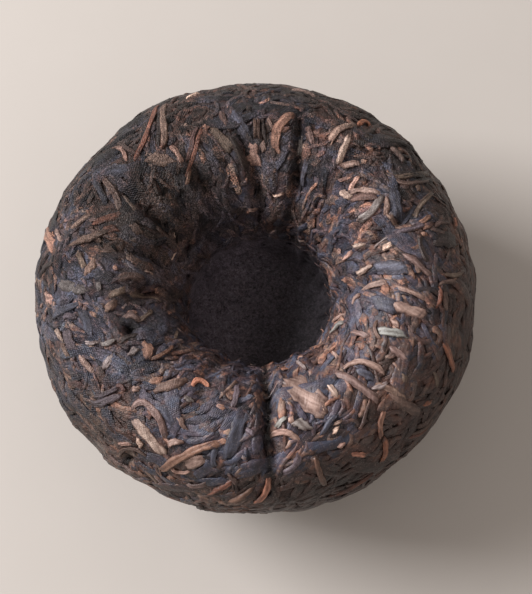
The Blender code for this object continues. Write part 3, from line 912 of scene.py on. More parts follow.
def leafMaterial(name, look):
    # level and warmth place a leaf in the shared colours; its crests are rubbed and carry a painted
    # highlight, and its creases and rims carry painted shade
    material, tree, shader = newMaterial(name, 0.5, look["specular"])
    streak, blotch, wrinkle, inside = addGroup(tree, leafGrain, {
        "Streak Width": look["streakWidth"], "Streak Length": look["streakLength"],
        "Blotch Size": look["blotchSize"]})
    cloth, patch = addGroup(tree, clothPrint)
    speck, crumb, rough = addGroup(tree, pressedDust)
    kept, pit, calm = addGroup(tree, hollowShade)
    tone = attributeOf(tree, "leafTone", "Fac")
    crest = separated(attributeOf(tree, "span"))[2]

    streaks = mapped(streak, 0.35, 0.65, -look["streakTone"], look["streakTone"])
    level = streaks + look["level"] + (tone - 0.5) * look["levelSpread"] + (blotch - 0.5) * look["blotchTone"]
    warmth = (blotch - 0.5) * 1.2 + look["warmth"]
    colour = addGroup(tree, teaColour, {"Level": level, "Warmth": warmth})[0]
    if look["tinted"]:
        # on tinted leaves, blotches with a painted highlight along the crest and painted shade towards the
        # rims
        core = inside * crest * 0.35 + streaks
        shade = colourRamp(core + blotch * 0.7, (0.15, (0.42, 0.33, 0.31)), (0.50, (0.95, 0.90, 0.88)),
                           (0.85, (1.65, 1.70, 1.70)))
        tinted = mixColours(tree, 1.0, attributeOf(tree, "tint"), shade, "MULTIPLY")
        shown = mapped(inside * 0.25 + blotch, 0.40, 0.58, 0.25, 0.97)
        colour = mixColours(tree, shown, colour, tinted)

    # painted shade at each leaf's rim and in its creases, wear and a painted highlight on its crests, dust
    # specks, and painted shade in the dents of the weave
    rim = mapped(inside, 0.0, 0.35, look["rimTone"], 1.0)
    rubbedAndShaded = mapped(crest, 0.55, 1.0, look["creaseTone"], 1.12)
    specked = mapped(speck, 0.33, 0.67, -look["speckle"], look["speckle"]) * rough + 1.0
    weaveDentShade = 1.0 - (1.0 - cloth) * patch * rough * (look["cloth"] * 0.5)
    shadeOf = rim * rubbedAndShaded * specked * weaveDentShade
    # painted light in the pit and the calm funnel
    shadeOf = shadeOf + pit * paintedLightAndDust["pitEven"] * (paintedLightAndDust["pitEven"] - shadeOf)
    colour = mixColours(tree, calm * paintedLightAndDust["calmShare"], colour, paintedLightAndDust["calm"])
    colour = mixColours(tree, pit * paintedLightAndDust["pitShare"], colour, paintedLightAndDust["pit"])
    # pale dust specks, partly painted glints, none down in the pit
    dust = mapped(speck, 0.62, 0.74, 0.0, look["dust"]) * (1.0 - pit)
    colour = mixColours(tree, dust, colour * (shadeOf * kept), paintedLightAndDust["dust"])

    height = streak * look["streakHeight"] + wrinkle * look["wrinkleHeight"]
    height = height + speck * rough * look["speckHeight"] + crumb * rough * look["crumbHeight"]
    height = height + cloth * patch * rough * (1.6 * look["cloth"])
    feed(shader, {
        "Base Color": colour, "Roughness": mapped(streak, 0.3, 0.7, *look["roughness"]),
        "Normal": addBump(tree, look["bump"], 0.0001, height),
    })
    return material


plainLook = {
    "tinted": False, "level": 0.50, "levelSpread": 0.38, "warmth": 0.45, "streakTone": 0.12,
    "blotchTone": 0.60, "streakWidth": 0.32, "streakLength": 2.6, "blotchSize": 1.2, "rimTone": 0.92,
    "creaseTone": 0.80, "speckle": 0.50, "dust": 0.45, "cloth": 0.7, "roughness": (0.34, 0.58),
    "specular": 0.4, "bump": 1.0,
    "streakHeight": 1.3, "wrinkleHeight": 1.2, "speckHeight": 1.5, "crumbHeight": 2.0,
}

leafLooks = {
    "slateLeaf": {"level": 0.55, "warmth": -0.42, "cloth": 1.0},
    "duskLeaf": {"level": 0.45, "warmth": 0.40},
    "brownLeaf": {"level": 0.53, "blotchTone": 1.2, "warmth": 1.10, "cloth": 0.4},
    "tanLeaf": {"level": 0.68, "levelSpread": 0.5, "blotchTone": 1.3, "warmth": 1.6, "cloth": 0.2,
                "roughness": (0.45, 0.70)},
    "strandLeaf": {"level": 0.48, "levelSpread": 0.65, "warmth": 0.55, "cloth": 0.4},
    "barkStalk": {"level": 0.62, "warmth": 1.5, "cloth": 0.0},
    "paleChip": {"level": 0.82, "levelSpread": 0.5, "warmth": 1.2, "cloth": 0.0, "roughness": (0.6, 0.8)},
    "broadLeaf": {"level": 0.52, "warmth": -0.1, "cloth": 1.0},
    "showLeaf": {"tinted": True, "level": 0.60, "warmth": 0.9, "cloth": 0.35, "speckle": 0.26,
                 "streakWidth": 0.45, "streakTone": 0.16},
    "fibreHair": {"level": 0.6, "levelSpread": 0.9, "warmth": 1.0, "cloth": 0.0},
}
leafMaterials = {name: leafMaterial(name, {**plainLook, **look}) for name, look in leafLooks.items()}


def coreMaterial():
    # crumbs and shreds pressed flat between the leaves
    material, tree, shader = newMaterial("coreTea", 0.6, 0.4)
    speck, crumb, _ = addGroup(tree, pressedDust)
    kept, pit, _ = addGroup(tree, hollowShade)
    level = mapped(crumb, 0.3, 0.7, 0.28, 0.62)
    colour = addGroup(tree, teaColour, {"Level": level, "Warmth": 0.45})[0]
    # painted light: the pit's core is evened towards a lighter colour; kept brings the painted shade and
    # light
    colour = mixColours(tree, pit * paintedLightAndDust["pitShare"], colour, paintedLightAndDust["pitCore"])
    clouds = noiseAt(placeOnCake(tree)[0], 520.0, 4.0, 1.2) - 0.5
    clouded = ((crumb - 0.5) * 2.8 + clouds * 1.7) * pit + 1.0
    specked = mapped(speck, 0.33, 0.67, 0.6, 1.3)
    feed(shader, {
        "Base Color": colour * (specked * clouded * kept),
        "Normal": addBump(tree, 1.0, 0.0002, crumb * 2.5 + speck),
    })
    return material


print("materials made")

# the core is the pressed form, a little inside the leaves, with crumbs
core = {
    "inset": 0.00005, "crumbHeight": 0.00030, "crumbSize": 0.0013, "ground": 0.00018,
    "pitLift": 0.00040, "pitHeights": (0.0270, 0.0245), "pitEdge": 0.0060, "pitEdgeSize": 0.0035,
}


def makeCore():
    mesh = form.data.copy()
    mesh.name = "teaCore"
    outwards, presses, calms = (mesh.attributes[name].data for name in ("outward", "press", "settled"))
    for vertex, outward, press, settled in zip(mesh.vertices, outwards, presses, calms):
        edge = core["pitEdge"] * abs(noise.noise(vertex.co / core["pitEdgeSize"]))
        isPit = settled.value > 1  # elsewhere it is how calm the leaves are, up to 1
        inPit = smoothStep(*core["pitHeights"], vertex.co.z + edge) if isPit else 0.0
        crumb = core["crumbHeight"] * noise.noise(vertex.co / core["crumbSize"]) * (1 - 0.9 * inPit)
        free = smoothStep(0, skin["footBlend"], vertex.co.z)
        lift = (core["pitLift"] + core["inset"]) * inPit - core["inset"]
        moved = vertex.co + press.vector + outward.vector * (crumb * free + lift)
        vertex.co = (moved.x, moved.y, max(moved.z, core["ground"]))
    mesh.shade_smooth()
    mesh.materials.clear()
    mesh.materials.append(coreMaterial())
    return finishPiece(addObject("teaCore", mesh))


makeCore()

tints = {
    "red": (0.105, 0.054, 0.050), "rust": (0.214, 0.087, 0.059), "orange": (0.440, 0.180, 0.105),
    "peach": (0.580, 0.265, 0.180), "pink": (0.200, 0.133, 0.121), "buff": (0.240, 0.166, 0.143),
    "blush": (0.295, 0.200, 0.170), "rose": (0.452, 0.278, 0.228), "tan": (0.209, 0.138, 0.110),
    "umber": (0.152, 0.097, 0.080), "amber": (0.255, 0.142, 0.101), "cream": (0.425, 0.321, 0.271),
    "bright": (0.720, 0.530, 0.430), "pale": (0.232, 0.236, 0.225), "haze": (0.266, 0.221, 0.218),
    "ash": (0.165, 0.148, 0.143), "olive": (0.152, 0.109, 0.083), "grey": (0.100, 0.088, 0.086),
    "brown": (0.088, 0.052, 0.045), "slate": (0.057, 0.060, 0.085), "steel": (0.098, 0.102, 0.136),
    "dark": (0.031, 0.022, 0.021), "mauve": (0.111, 0.087, 0.104), "clay": (0.340, 0.185, 0.135),
}

# start, middle and end in pixels of the photograph, width in metres, tint: the solid's own leaves
solidLeaves = {
    "thinStalkLeft": ((158, 101), (147, 128), (132, 162), 0.0012, "rust"),
    "thinStalkRight": ((163, 101), (163, 122), (165, 146), 0.0013, "tan"),
    "twinStalkLeft": ((198, 122), (191, 144), (187, 168), 0.0009, "red"),
    "twinStalkRight": ((203, 122), (196, 144), (188, 190), 0.0009, "rust"),
    "brightLeafTop": ((295, 111), (278, 129), (276, 158), 0.0018, "clay"),
    "pinkLeafTop": ((250, 140), (252, 154), (257, 170), 0.0026, "rose"),
    "tanLeafRight": ((351, 132), (344, 147), (337, 165), 0.0013, "cream"),
    "bentStalkRight": ((344, 196), (362, 190), (383, 194), 0.0011, "buff"),
    "oliveLeafRight": ((380, 194), (373, 208), (357, 223), 0.0015, "ash"),
    "longLeafRight": ((331, 369), (355, 382), (382, 404), 0.0015, "pink"),
    "amberLeafRight": ((341, 367), (362, 361), (388, 378), 0.0012, "blush"),
    "paleChipRight": ((377, 330), (391, 331), (408, 335), 0.0018, "pale"),
    "rustChipRight": ((446, 342), (451, 357), (456, 373), 0.0014, "orange"),
    "broadLeafBelow": ((284, 376), (305, 393), (329, 413), 0.0048, "buff"),
    "hookLeafBelow": ((268, 442), (284, 432), (300, 447), 0.0012, "blush"),
    "shortStalkBelow": ((316, 458), (320, 473), (326, 489), 0.0011, "amber"),
    "endStalkBelow": ((268, 476), (267, 492), (255, 506), 0.0012, "peach"),
    "uprightLeafBelow": ((385, 440), (387, 451), (383, 464), 0.0013, "orange"),
    "knottedLeafLeft": ((132, 419), (146, 436), (163, 457), 0.0021, "cream"),
    "hookedLeafLeft": ((132, 414), (147, 404), (164, 440), 0.0013, "pink"),
    "longStripLeft": ((157, 475), (186, 456), (222, 441), 0.0016, "amber"),
    "pinkStripLeft": ((151, 390), (167, 385), (188, 379), 0.0018, "umber"),
    "ridgeLeafUpper": ((90, 222), (107, 218), (124, 212), 0.0013, "rust"),
    "ridgeLeafLower": ((67, 244), (88, 237), (112, 229), 0.0013, "tan"),
    "forkedLeafLeft": ((101, 177), (114, 192), (121, 209), 0.0013, "buff"),
    "curledLeafLeft": ((147, 340), (149, 348), (146, 357), 0.0020, "clay"),
}

# finer leaves seen in the photograph, in the same way
photoLeaves = {
    "darkStalkTop": ((158, 108), (158, 130), (157, 148), 0.0008, "dark"),
    "pinkStripBelowStalk": ((170, 145), (176, 151), (183, 164), 0.0011, "rose"),
    "brownTailTop": ((190, 164), (189, 178), (185, 191), 0.0008, "amber"),
    "curledPinkUpperLeft": ((109, 148), (119, 147), (125, 160), 0.0008, "rose"),
    "brownStripUpperLeft": ((116, 140), (125, 146), (135, 153), 0.0010, "brown"),
    "wovenLeafUpperLeft": ((103, 171), (117, 168), (131, 171), 0.0024, "slate"),
    "clumpUpperLeft": ((147, 155), (158, 158), (171, 166), 0.0026, "tan"),
    "thinStripUpperLeft": ((121, 191), (130, 203), (139, 214), 0.0008, "cream"),
    "slateStripUpperLeft": ((91, 177), (99, 190), (106, 203), 0.0012, "slate"),
    "paleChipTop": ((184, 96), (191, 94), (200, 91), 0.0009, "bright"),
    "oliveLeafTop": ((209, 126), (222, 138), (233, 153), 0.0020, "olive"),
    "darkLeafTop": ((226, 133), (238, 150), (247, 173), 0.0014, "dark"),
    "slateStripTop": ((231, 107), (239, 122), (248, 138), 0.0020, "slate"),
    "greyStripTop": ((221, 108), (224, 119), (230, 131), 0.0011, "brown"),
    "thinStripTop": ((254, 116), (255, 127), (255, 139), 0.0006, "tan"),
    "thinStripMiddle": ((259, 116), (258, 128), (260, 140), 0.0006, "umber"),
    "thinStripBeside": ((263, 121), (264, 132), (266, 143), 0.0006, "dark"),
    "pinkChipTop": ((262, 140), (263, 146), (264, 153), 0.0009, "blush"),
    "paleFleckTop": ((267, 117), (270, 122), (273, 128), 0.0006, "blush"),
    "pinkStripTop": ((291, 87), (302, 89), (317, 95), 0.0010, "blush"),
    "lightStripByFold": ((300, 131), (300, 145), (297, 160), 0.0008, "ash"),
    "pinkStripByFold": ((307, 124), (310, 133), (313, 143), 0.0010, "pink"),
    "slateStripByFold": ((307, 158), (303, 172), (300, 188), 0.0012, "slate"),
    "brownArcRight": ((358, 124), (341, 127), (329, 143), 0.0016, "tan"),
    "amberChipRight": ((361, 123), (366, 120), (372, 123), 0.0010, "orange"),
    "brightLeafRight": ((340, 168), (350, 163), (361, 162), 0.0014, "blush"),
    "pinkStripRight": ((360, 174), (354, 182), (348, 191), 0.0009, "rose"),
    "brightPatchRight": ((341, 189), (344, 194), (352, 198), 0.0014, "cream"),
    "paleLeafRight": ((351, 202), (362, 196), (379, 197), 0.0014, "brown"),
    "brownStripOuter": ((392, 145), (398, 151), (405, 160), 0.0013, "buff"),
    "darkStripOuter": ((364, 140), (392, 140), (424, 153), 0.0010, "dark"),
    "darkBandOuter": ((383, 164), (402, 173), (432, 176), 0.0013, "dark"),
    "darkBandBeside": ((406, 186), (420, 180), (438, 181), 0.0011, "dark"),
    "brownArcOuter": ((435, 226), (444, 221), (454, 224), 0.0009, "brown"),
    "rimChipRight": ((456, 216), (457, 221), (458, 226), 0.0010, "peach"),
    "roundLeafRight": ((436, 238), (448, 238), (461, 241), 0.0031, "dark"),
    "tanStripRight": ((384, 195), (387, 205), (386, 215), 0.0011, "blush"),
    "brownStripRight": ((387, 213), (394, 221), (403, 228), 0.0010, "tan"),
    "slateLeafRight": ((392, 184), (396, 203), (401, 223), 0.0022, "slate"),
    "brightChipRight": ((380, 249), (386, 246), (393, 243), 0.0011, "bright"),
    "pinkStripBeside": ((371, 248), (380, 241), (389, 235), 0.0008, "haze"),
    "paleStripRight": ((355, 274), (363, 270), (370, 264), 0.0010, "cream"),
    "greenChipRight": ((351, 248), (357, 246), (365, 243), 0.0009, "cream"),
    "pinkChipRight": ((341, 259), (346, 256), (350, 252), 0.0010, "rose"),
    "longPinkRight": ((402, 252), (417, 262), (433, 276), 0.0011, "pink"),
    "slateFlatRight": ((370, 268), (390, 267), (413, 266), 0.0024, "steel"),
    "tanLeafMiddle": ((359, 290), (372, 284), (390, 281), 0.0014, "buff"),
    "outerStripRight": ((391, 284), (408, 290), (430, 299), 0.0011, "blush"),
    "broadTanRight": ((391, 300), (408, 309), (429, 315), 0.0020, "blush"),
    "greyFlatRight": ((370, 300), (384, 303), (399, 310), 0.0028, "slate"),
    "amberChipMiddle": ((391, 322), (396, 323), (400, 325), 0.0012, "blush"),
    "pinkCurlRight": ((349, 330), (359, 333), (369, 337), 0.0010, "pink"),
    "darkHookRight": ((378, 318), (374, 327), (381, 339), 0.0007, "umber"),
    "thinPinkRight": ((329, 322), (336, 317), (343, 312), 0.0007, "blush"),
    "whiteStripRight": ((327, 333), (334, 327), (342, 321), 0.0010, "pale"),
    "tanChipThroat": ((350, 304), (354, 298), (358, 293), 0.0008, "blush"),
    "rustHookOuter": ((440, 285), (442, 296), (438, 307), 0.0010, "rust"),
    "palePinkOuter": ((391, 345), (398, 352), (410, 360), 0.0012, "pink"),
    "forkedLeafOuter": ((374, 386), (391, 389), (410, 405), 0.0016, "tan"),
    "forkTipOuter": ((373, 387), (380, 387), (389, 383), 0.0010, "haze"),
    "mauveStripOuter": ((387, 411), (382, 424), (384, 440), 0.0010, "clay"),
    "rimStripLower": ((433, 420), (424, 432), (408, 441), 0.0009, "rust"),
    "oliveArcOuter": ((434, 370), (438, 380), (437, 390), 0.0008, "olive"),
    "amberDotOuter": ((425, 405), (429, 404), (433, 403), 0.0010, "orange"),
    "oliveChipOuter": ((402, 371), (405, 377), (403, 384), 0.0011, "olive"),
    "slateBetweenRight": ((354, 371), (365, 373), (377, 380), 0.0016, "slate"),
    "tanTwistBelow": ((327, 381), (332, 388), (339, 399), 0.0011, "cream"),
    "creamPatchBelow": ((314, 401), (319, 406), (322, 413), 0.0012, "bright"),
    "creamChipBelow": ((296, 359), (300, 363), (305, 367), 0.0007, "haze"),
    "creamChipThroat": ((331, 350), (334, 353), (337, 357), 0.0008, "blush"),
    "tealStripBelow": ((321, 437), (328, 425), (336, 414), 0.0009, "slate"),
    "creamDotBelow": ((333, 433), (336, 431), (340, 429), 0.0011, "bright"),
    "creamDotBeside": ((333, 425), (338, 423), (344, 420), 0.0007, "tan"),
    "creamDotLower": ((339, 449), (341, 447), (344, 443), 0.0009, "rose"),
    "amberLensLower": ((352, 459), (359, 456), (368, 458), 0.0013, "peach"),
    "rimFibresLower": ((328, 500), (351, 490), (376, 474), 0.0008, "rust"),
    "paleChipLower": ((275, 429), (280, 422), (285, 415), 0.0010, "pale"),
    "pinkChipLower": ((290, 414), (291, 418), (291, 424), 0.0010, "blush"),
    "mauveRingLower": ((298, 449), (295, 467), (279, 475), 0.0015, "mauve"),
    "palePatchLower": ((245, 429), (249, 431), (255, 435), 0.0010, "mauve"),
    "tanStripBottom": ((256, 489), (245, 496), (224, 507), 0.0011, "amber"),
    "redStripBottom": ((236, 481), (222, 489), (204, 498), 0.0010, "rust"),
    "brownPatchBottom": ((226, 477), (232, 480), (238, 486), 0.0013, "brown"),
    "slateStripLower": ((247, 403), (236, 432), (226, 464), 0.0024, "slate"),
    "slateStripBeside": ((216, 446), (213, 458), (215, 470), 0.0012, "slate"),
    "amberCurlMiddle": ((193, 386), (200, 379), (208, 386), 0.0009, "peach"),
    "slateArcLeft": ((152, 405), (164, 411), (171, 427), 0.0015, "slate"),
    "brownPatchLeft": ((175, 414), (181, 423), (185, 432), 0.0011, "umber"),
    "tanChipLeft": ((184, 396), (188, 398), (192, 402), 0.0009, "ash"),
    "tanLensLeft": ((167, 447), (173, 443), (180, 445), 0.0012, "blush"),
    "pinkChipLowerLeft": ((117, 446), (124, 445), (131, 445), 0.0008, "rose"),
    "creamChipLeft": ((135, 441), (139, 445), (141, 449), 0.0011, "bright"),
    "darkLoopLeft": ((117, 461), (130, 450), (146, 461), 0.0008, "umber"),
    "pinkPatchLeft": ((182, 468), (194, 463), (206, 462), 0.0025, "blush"),
    "creamStripLeft": ((170, 469), (178, 474), (190, 472), 0.0008, "rose"),
    "rimStripLeft": ((104, 452), (118, 465), (140, 477), 0.0008, "pink"),
    "thinStalkLower": ((99, 412), (106, 424), (114, 436), 0.0008, "brown"),
    "longPaleLeft": ((90, 398), (104, 394), (119, 386), 0.0009, "mauve"),
    "mauveStripLeft": ((89, 405), (104, 402), (119, 394), 0.0014, "mauve"),
    "rustChipLeft": ((116, 388), (120, 386), (123, 392), 0.0009, "red"),
    "pinkDotLeft": ((130, 390), (135, 389), (140, 390), 0.0011, "blush"),
    "redPatchLeft": ((66, 385), (73, 384), (81, 387), 0.0015, "red"),
    "longCreamLeft": ((76, 351), (82, 361), (93, 373), 0.0011, "blush"),
    "brightChipLeft": ((112, 352), (108, 360), (102, 369), 0.0013, "haze"),
    "thinPinkLeft": ((83, 342), (90, 343), (98, 341), 0.0008, "haze"),
    "palePinkLeft": ((99, 344), (106, 343), (114, 338), 0.0010, "ash"),
    "paleTanLeft": ((59, 342), (63, 350), (68, 359), 0.0010, "tan"),
    "creamChipOuterLeft": ((53, 329), (57, 334), (59, 342), 0.0010, "cream"),
    "mauvePatchLeft": ((63, 329), (68, 340), (74, 353), 0.0019, "mauve"),
    "brownBlotchLeft": ((61, 318), (67, 316), (74, 320), 0.0013, "mauve"),
    "slateBandLeft": ((49, 319), (61, 310), (79, 303), 0.0014, "slate"),
    "slateBandBeside": ((79, 309), (85, 320), (88, 336), 0.0018, "slate"),
    "tanPatchLeft": ((103, 308), (110, 305), (118, 303), 0.0017, "tan"),
    "amberPatchLeft": ((42, 296), (46, 297), (50, 300), 0.0018, "rose"),
    "paleBandLeft": ((55, 282), (71, 287), (89, 290), 0.0019, "grey"),
    "greenChipLeft": ((97, 280), (98, 285), (99, 291), 0.0010, "grey"),
    "pinkRoughLeft": ((81, 274), (88, 268), (96, 260), 0.0016, "tan"),
    "oliveStripLeft": ((75, 250), (80, 258), (84, 269), 0.0011, "olive"),
    "brightPatchLeft": ((45, 229), (47, 238), (52, 248), 0.0024, "clay"),
    "brightPatchBeside": ((53, 228), (57, 235), (59, 242), 0.0009, "buff"),
    "tanStripLeft": ((69, 229), (77, 222), (90, 212), 0.0013, "tan"),
    "pinkTipLeft": ((88, 221), (95, 219), (100, 223), 0.0008, "pink"),
    "pinkPatchInner": ((104, 232), (112, 228), (121, 228), 0.0016, "rust"),
    "dullStripLeft": ((107, 293), (116, 292), (128, 289), 0.0015, "olive"),
    "branchByHole": ((127, 319), (133, 315), (141, 320), 0.0015, "pink"),
    "branchAboveHole": ((140, 320), (147, 315), (156, 308), 0.0008, "olive"),
    "darkStripByHole": ((118, 343), (129, 336), (143, 333), 0.0011, "dark"),
    "paleChipByHole": ((130, 356), (134, 350), (139, 346), 0.0012, "haze"),
    "brownRidgeInner": ((131, 221), (136, 228), (141, 237), 0.0018, "umber"),
    "brownBandInner": ((101, 248), (114, 247), (129, 244), 0.0021, "umber"),
    "brownDotInner": ((157, 226), (160, 229), (164, 232), 0.0012, "umber"),
    "tanDotInner": ((174, 233), (176, 235), (179, 237), 0.0009, "bright"),
    "tanFlakeInner": ((172, 261), (175, 257), (178, 252), 0.0008, "bright"),
    "thinTanInner": ((146, 270), (151, 272), (156, 275), 0.0006, "tan"),
    "twistTanInner": ((126, 200), (132, 206), (138, 213), 0.0007, "cream"),
    "oliveRidgeInner": ((128, 295), (145, 296), (163, 299), 0.0010, "olive"),
    "brownRidgeMiddle": ((118, 278), (131, 275), (146, 279), 0.0014, "brown"),
    "pinkStreakThroat": ((272, 198), (277, 197), (283, 195), 0.0006, "bright"),
    "amberStreakThroat": ((247, 212), (252, 212), (257, 213), 0.0009, "blush"),
    "greyPatchByHook": ((293, 421), (301, 424), (309, 431), 0.0018, "ash"),
    "lightStalkLeft": ((150, 358), (163, 353), (175, 343), 0.0008, "amber"),
    "fibreStalkInner": ((176, 338), (178, 333), (180, 328), 0.0006, "olive"),
    "darkArcLeft": ((36, 280), (42, 269), (52, 262), 0.0008, "dark"),
    "oliveStrandOuter": ((384, 166), (404, 176), (437, 172), 0.0011, "olive"),
    "umberStrandOuter": ((393, 174), (409, 182), (433, 178), 0.0009, "umber"),
    "loopStrandOuter": ((416, 216), (423, 202), (436, 191), 0.0010, "olive"),
    "slateStrandOuter": ((402, 224), (409, 215), (417, 204), 0.0010, "slate"),
    "mauveStrandOuter": ((390, 234), (411, 228), (431, 221), 0.0010, "mauve"),
    "tanLoopOuter": ((417, 222), (425, 220), (432, 212), 0.0009, "amber"),
    "darkStrandOuter": ((422, 232), (421, 246), (430, 262), 0.0010, "dark"),
    "oliveLoopOuter": ((446, 272), (456, 275), (466, 269), 0.0009, "olive"),
    "umberLoopOuter": ((440, 286), (452, 281), (463, 287), 0.0009, "umber"),
    "umberPatchOuter": ((448, 290), (447, 300), (450, 312), 0.0014, "umber"),
    "broadTwistOuter": ((388, 392), (405, 405), (425, 415), 0.0019, "umber"),
    "ringArcLower": ((383, 430), (392, 413), (407, 422), 0.0010, "brown"),
    "rimFibreOuter": ((441, 405), (432, 418), (418, 430), 0.0008, "umber"),
    "rimFibreBeside": ((437, 418), (425, 430), (412, 437), 0.0007, "tan"),
    "pinkStreakBottom": ((184, 485), (196, 488), (208, 484), 0.0012, "pink"),
    "mauveStripMiddle": ((237, 381), (236, 394), (232, 408), 0.0011, "mauve"),
}


def layStrip(ends, width, top, draw, tint=(0, 0, 0)):
    # an arc from each end meets the other at the middle point, heading from end to end
    start, middle, end = ends
    _, place, up, _ = form.closest_point_on_mesh(middle)
    heading = end - start
    heading = (heading - up * heading.dot(up)).normalized()
    aside = up.cross(heading)
    lengths, curls = [], []
    for chord in (place - start, end - place):
        ahead, sideways = chord.dot(heading), chord.dot(aside)
        turn = 2 * math.atan2(sideways, ahead) * (1 if lengths else -1) + 0.001
        lengths.append(math.hypot(ahead, sideways) * turn / 2 / math.sin(turn / 2))
        curls.append(turn / lengths[-1])
    return {
        "place": place, "up": up, "heading": heading, "curlBack": curls[0], "curlAhead": curls[1],
        "leafLength": sum(lengths), "leafJoint": lengths[0] / sum(lengths), "leafWidth": width,
        "leafTop": top, "leafThick": draw.uniform(0.0008, 0.0011), "leafTone": draw.random(),
        "leafTilt": draw.uniform(-1, 1), "leafSeed": draw.uniform(0, 90), "tint": Vector(tint),
    }


def seedsFrom(name, strips):
    # one point for each strip, with what the pressing tree reads
    mesh = bpy.data.meshes.new(name)
    mesh.from_pydata([strip["place"] for strip in strips], [], [])
    addAttributes(mesh, [{**strip, "leafIndex": index} for index, strip in enumerate(strips)])
    return mesh


showLeaves = {
    "solidTop": 0.00086, "photoTop": 0.00078, "seed": 5,
    "shape": {"Tip Width": 0.35, "Tip Power": 5.0, "Furrow": 0.45, "Ridges": 1.6, "Twist": 3.0, "Ragged": 0.7,
              "Oblique": 0.8, "Torn": 0.7, "Wander": 0.02, "Crumple": 0.00018, "Crumple Size": 0.0016,
              "Tuck": 0.0005, "Tilt": 0.16, "Tiles": 14.0},
}


def growShowLeaves():
    draw = random.Random(showLeaves["seed"])
    strips = []
    for table, top in ((solidLeaves, showLeaves["solidTop"]), (photoLeaves, showLeaves["photoTop"])):
        for *ends, width, tint in table.values():
            places = [placeInPicture(end, top) for end in ends]
            strips.append(layStrip(places, width, top, draw, tints[tint]))
    seeds = seedsFrom("showSeeds", strips)
    growStrips("showLeaves", seeds, "broad", leafMaterials["showLeaf"], showLeaves["shape"])


growShowLeaves()

# the solid's broad leaves: a golden-angle spiral over these shares of the skin's area, foot first
broadLeaves = {
    "count": 48, "shares": (0.05, 0.85), "slope": 1.2, "bend": 0.14, "top": 0.00066,
    "lengths": (0.0085, 0.0160), "widths": (0.0024, 0.0038), "seed": 11, "chanceSeed": 6,
    "shape": {"Tip Width": 0.30, "Tip Power": 3.0, "Furrow": 0.45, "Ridges": 2.2, "Ragged": 0.5,
              "Wander": 0.05, "Crumple": 0.00014, "Crumple Size": 0.0020, "Tuck": 0.0007, "Tiles": 7.0},
}


def placeByArea(share, turn):
    profile = cakeProfile()
    rings = [math.dist(a, b) * (a[0] + b[0]) for a, b in zip(profile, profile[1:])]
    left = share * sum(rings)
    for ring, (a, b) in zip(rings, zip(profile, profile[1:])):
        if left <= ring:
            radius = a[0] + (b[0] - a[0]) * left / ring
            height = a[1] + (b[1] - a[1]) * left / ring
            return Vector((radius * math.cos(turn), radius * math.sin(turn), height))
        left -= ring
    return Vector((0, 0, profile[-1][1]))


def growBroadLeaves():
    draw, chance = random.Random(broadLeaves["seed"]), random.Random(broadLeaves["chanceSeed"])
    first, last = broadLeaves["shares"]
    strips = []
    for number in range(broadLeaves["count"]):
        share = first + (last - first) * (number + 0.5) / broadLeaves["count"]
        middle = placeByArea(share, number * math.pi * (3 - math.sqrt(5)))
        slope = draw.uniform(-broadLeaves["slope"], broadLeaves["slope"])
        length, width = draw.uniform(*broadLeaves["lengths"]), draw.uniform(*broadLeaves["widths"])
        bend = draw.uniform(-broadLeaves["bend"], broadLeaves["bend"])
        _, place, up, _ = form.closest_point_on_mesh(middle)
        around = Vector((0, 0, 1)).cross(place).normalized()
        heading = around * math.cos(slope) + up.cross(around) * math.sin(slope)
        ends = [place + heading * length * step + up.cross(heading) * length * aside
                for step, aside in ((-0.5, 0), (0, bend), (0.5, 0))]
        strips.append(layStrip(ends, width, broadLeaves["top"], chance))
    seeds = seedsFrom("broadSeeds", strips)
    growStrips("broadLeaves", seeds, "broad", leafMaterials["broadLeaf"], broadLeaves["shape"])


growBroadLeaves()
print("leaves of the solid laid")

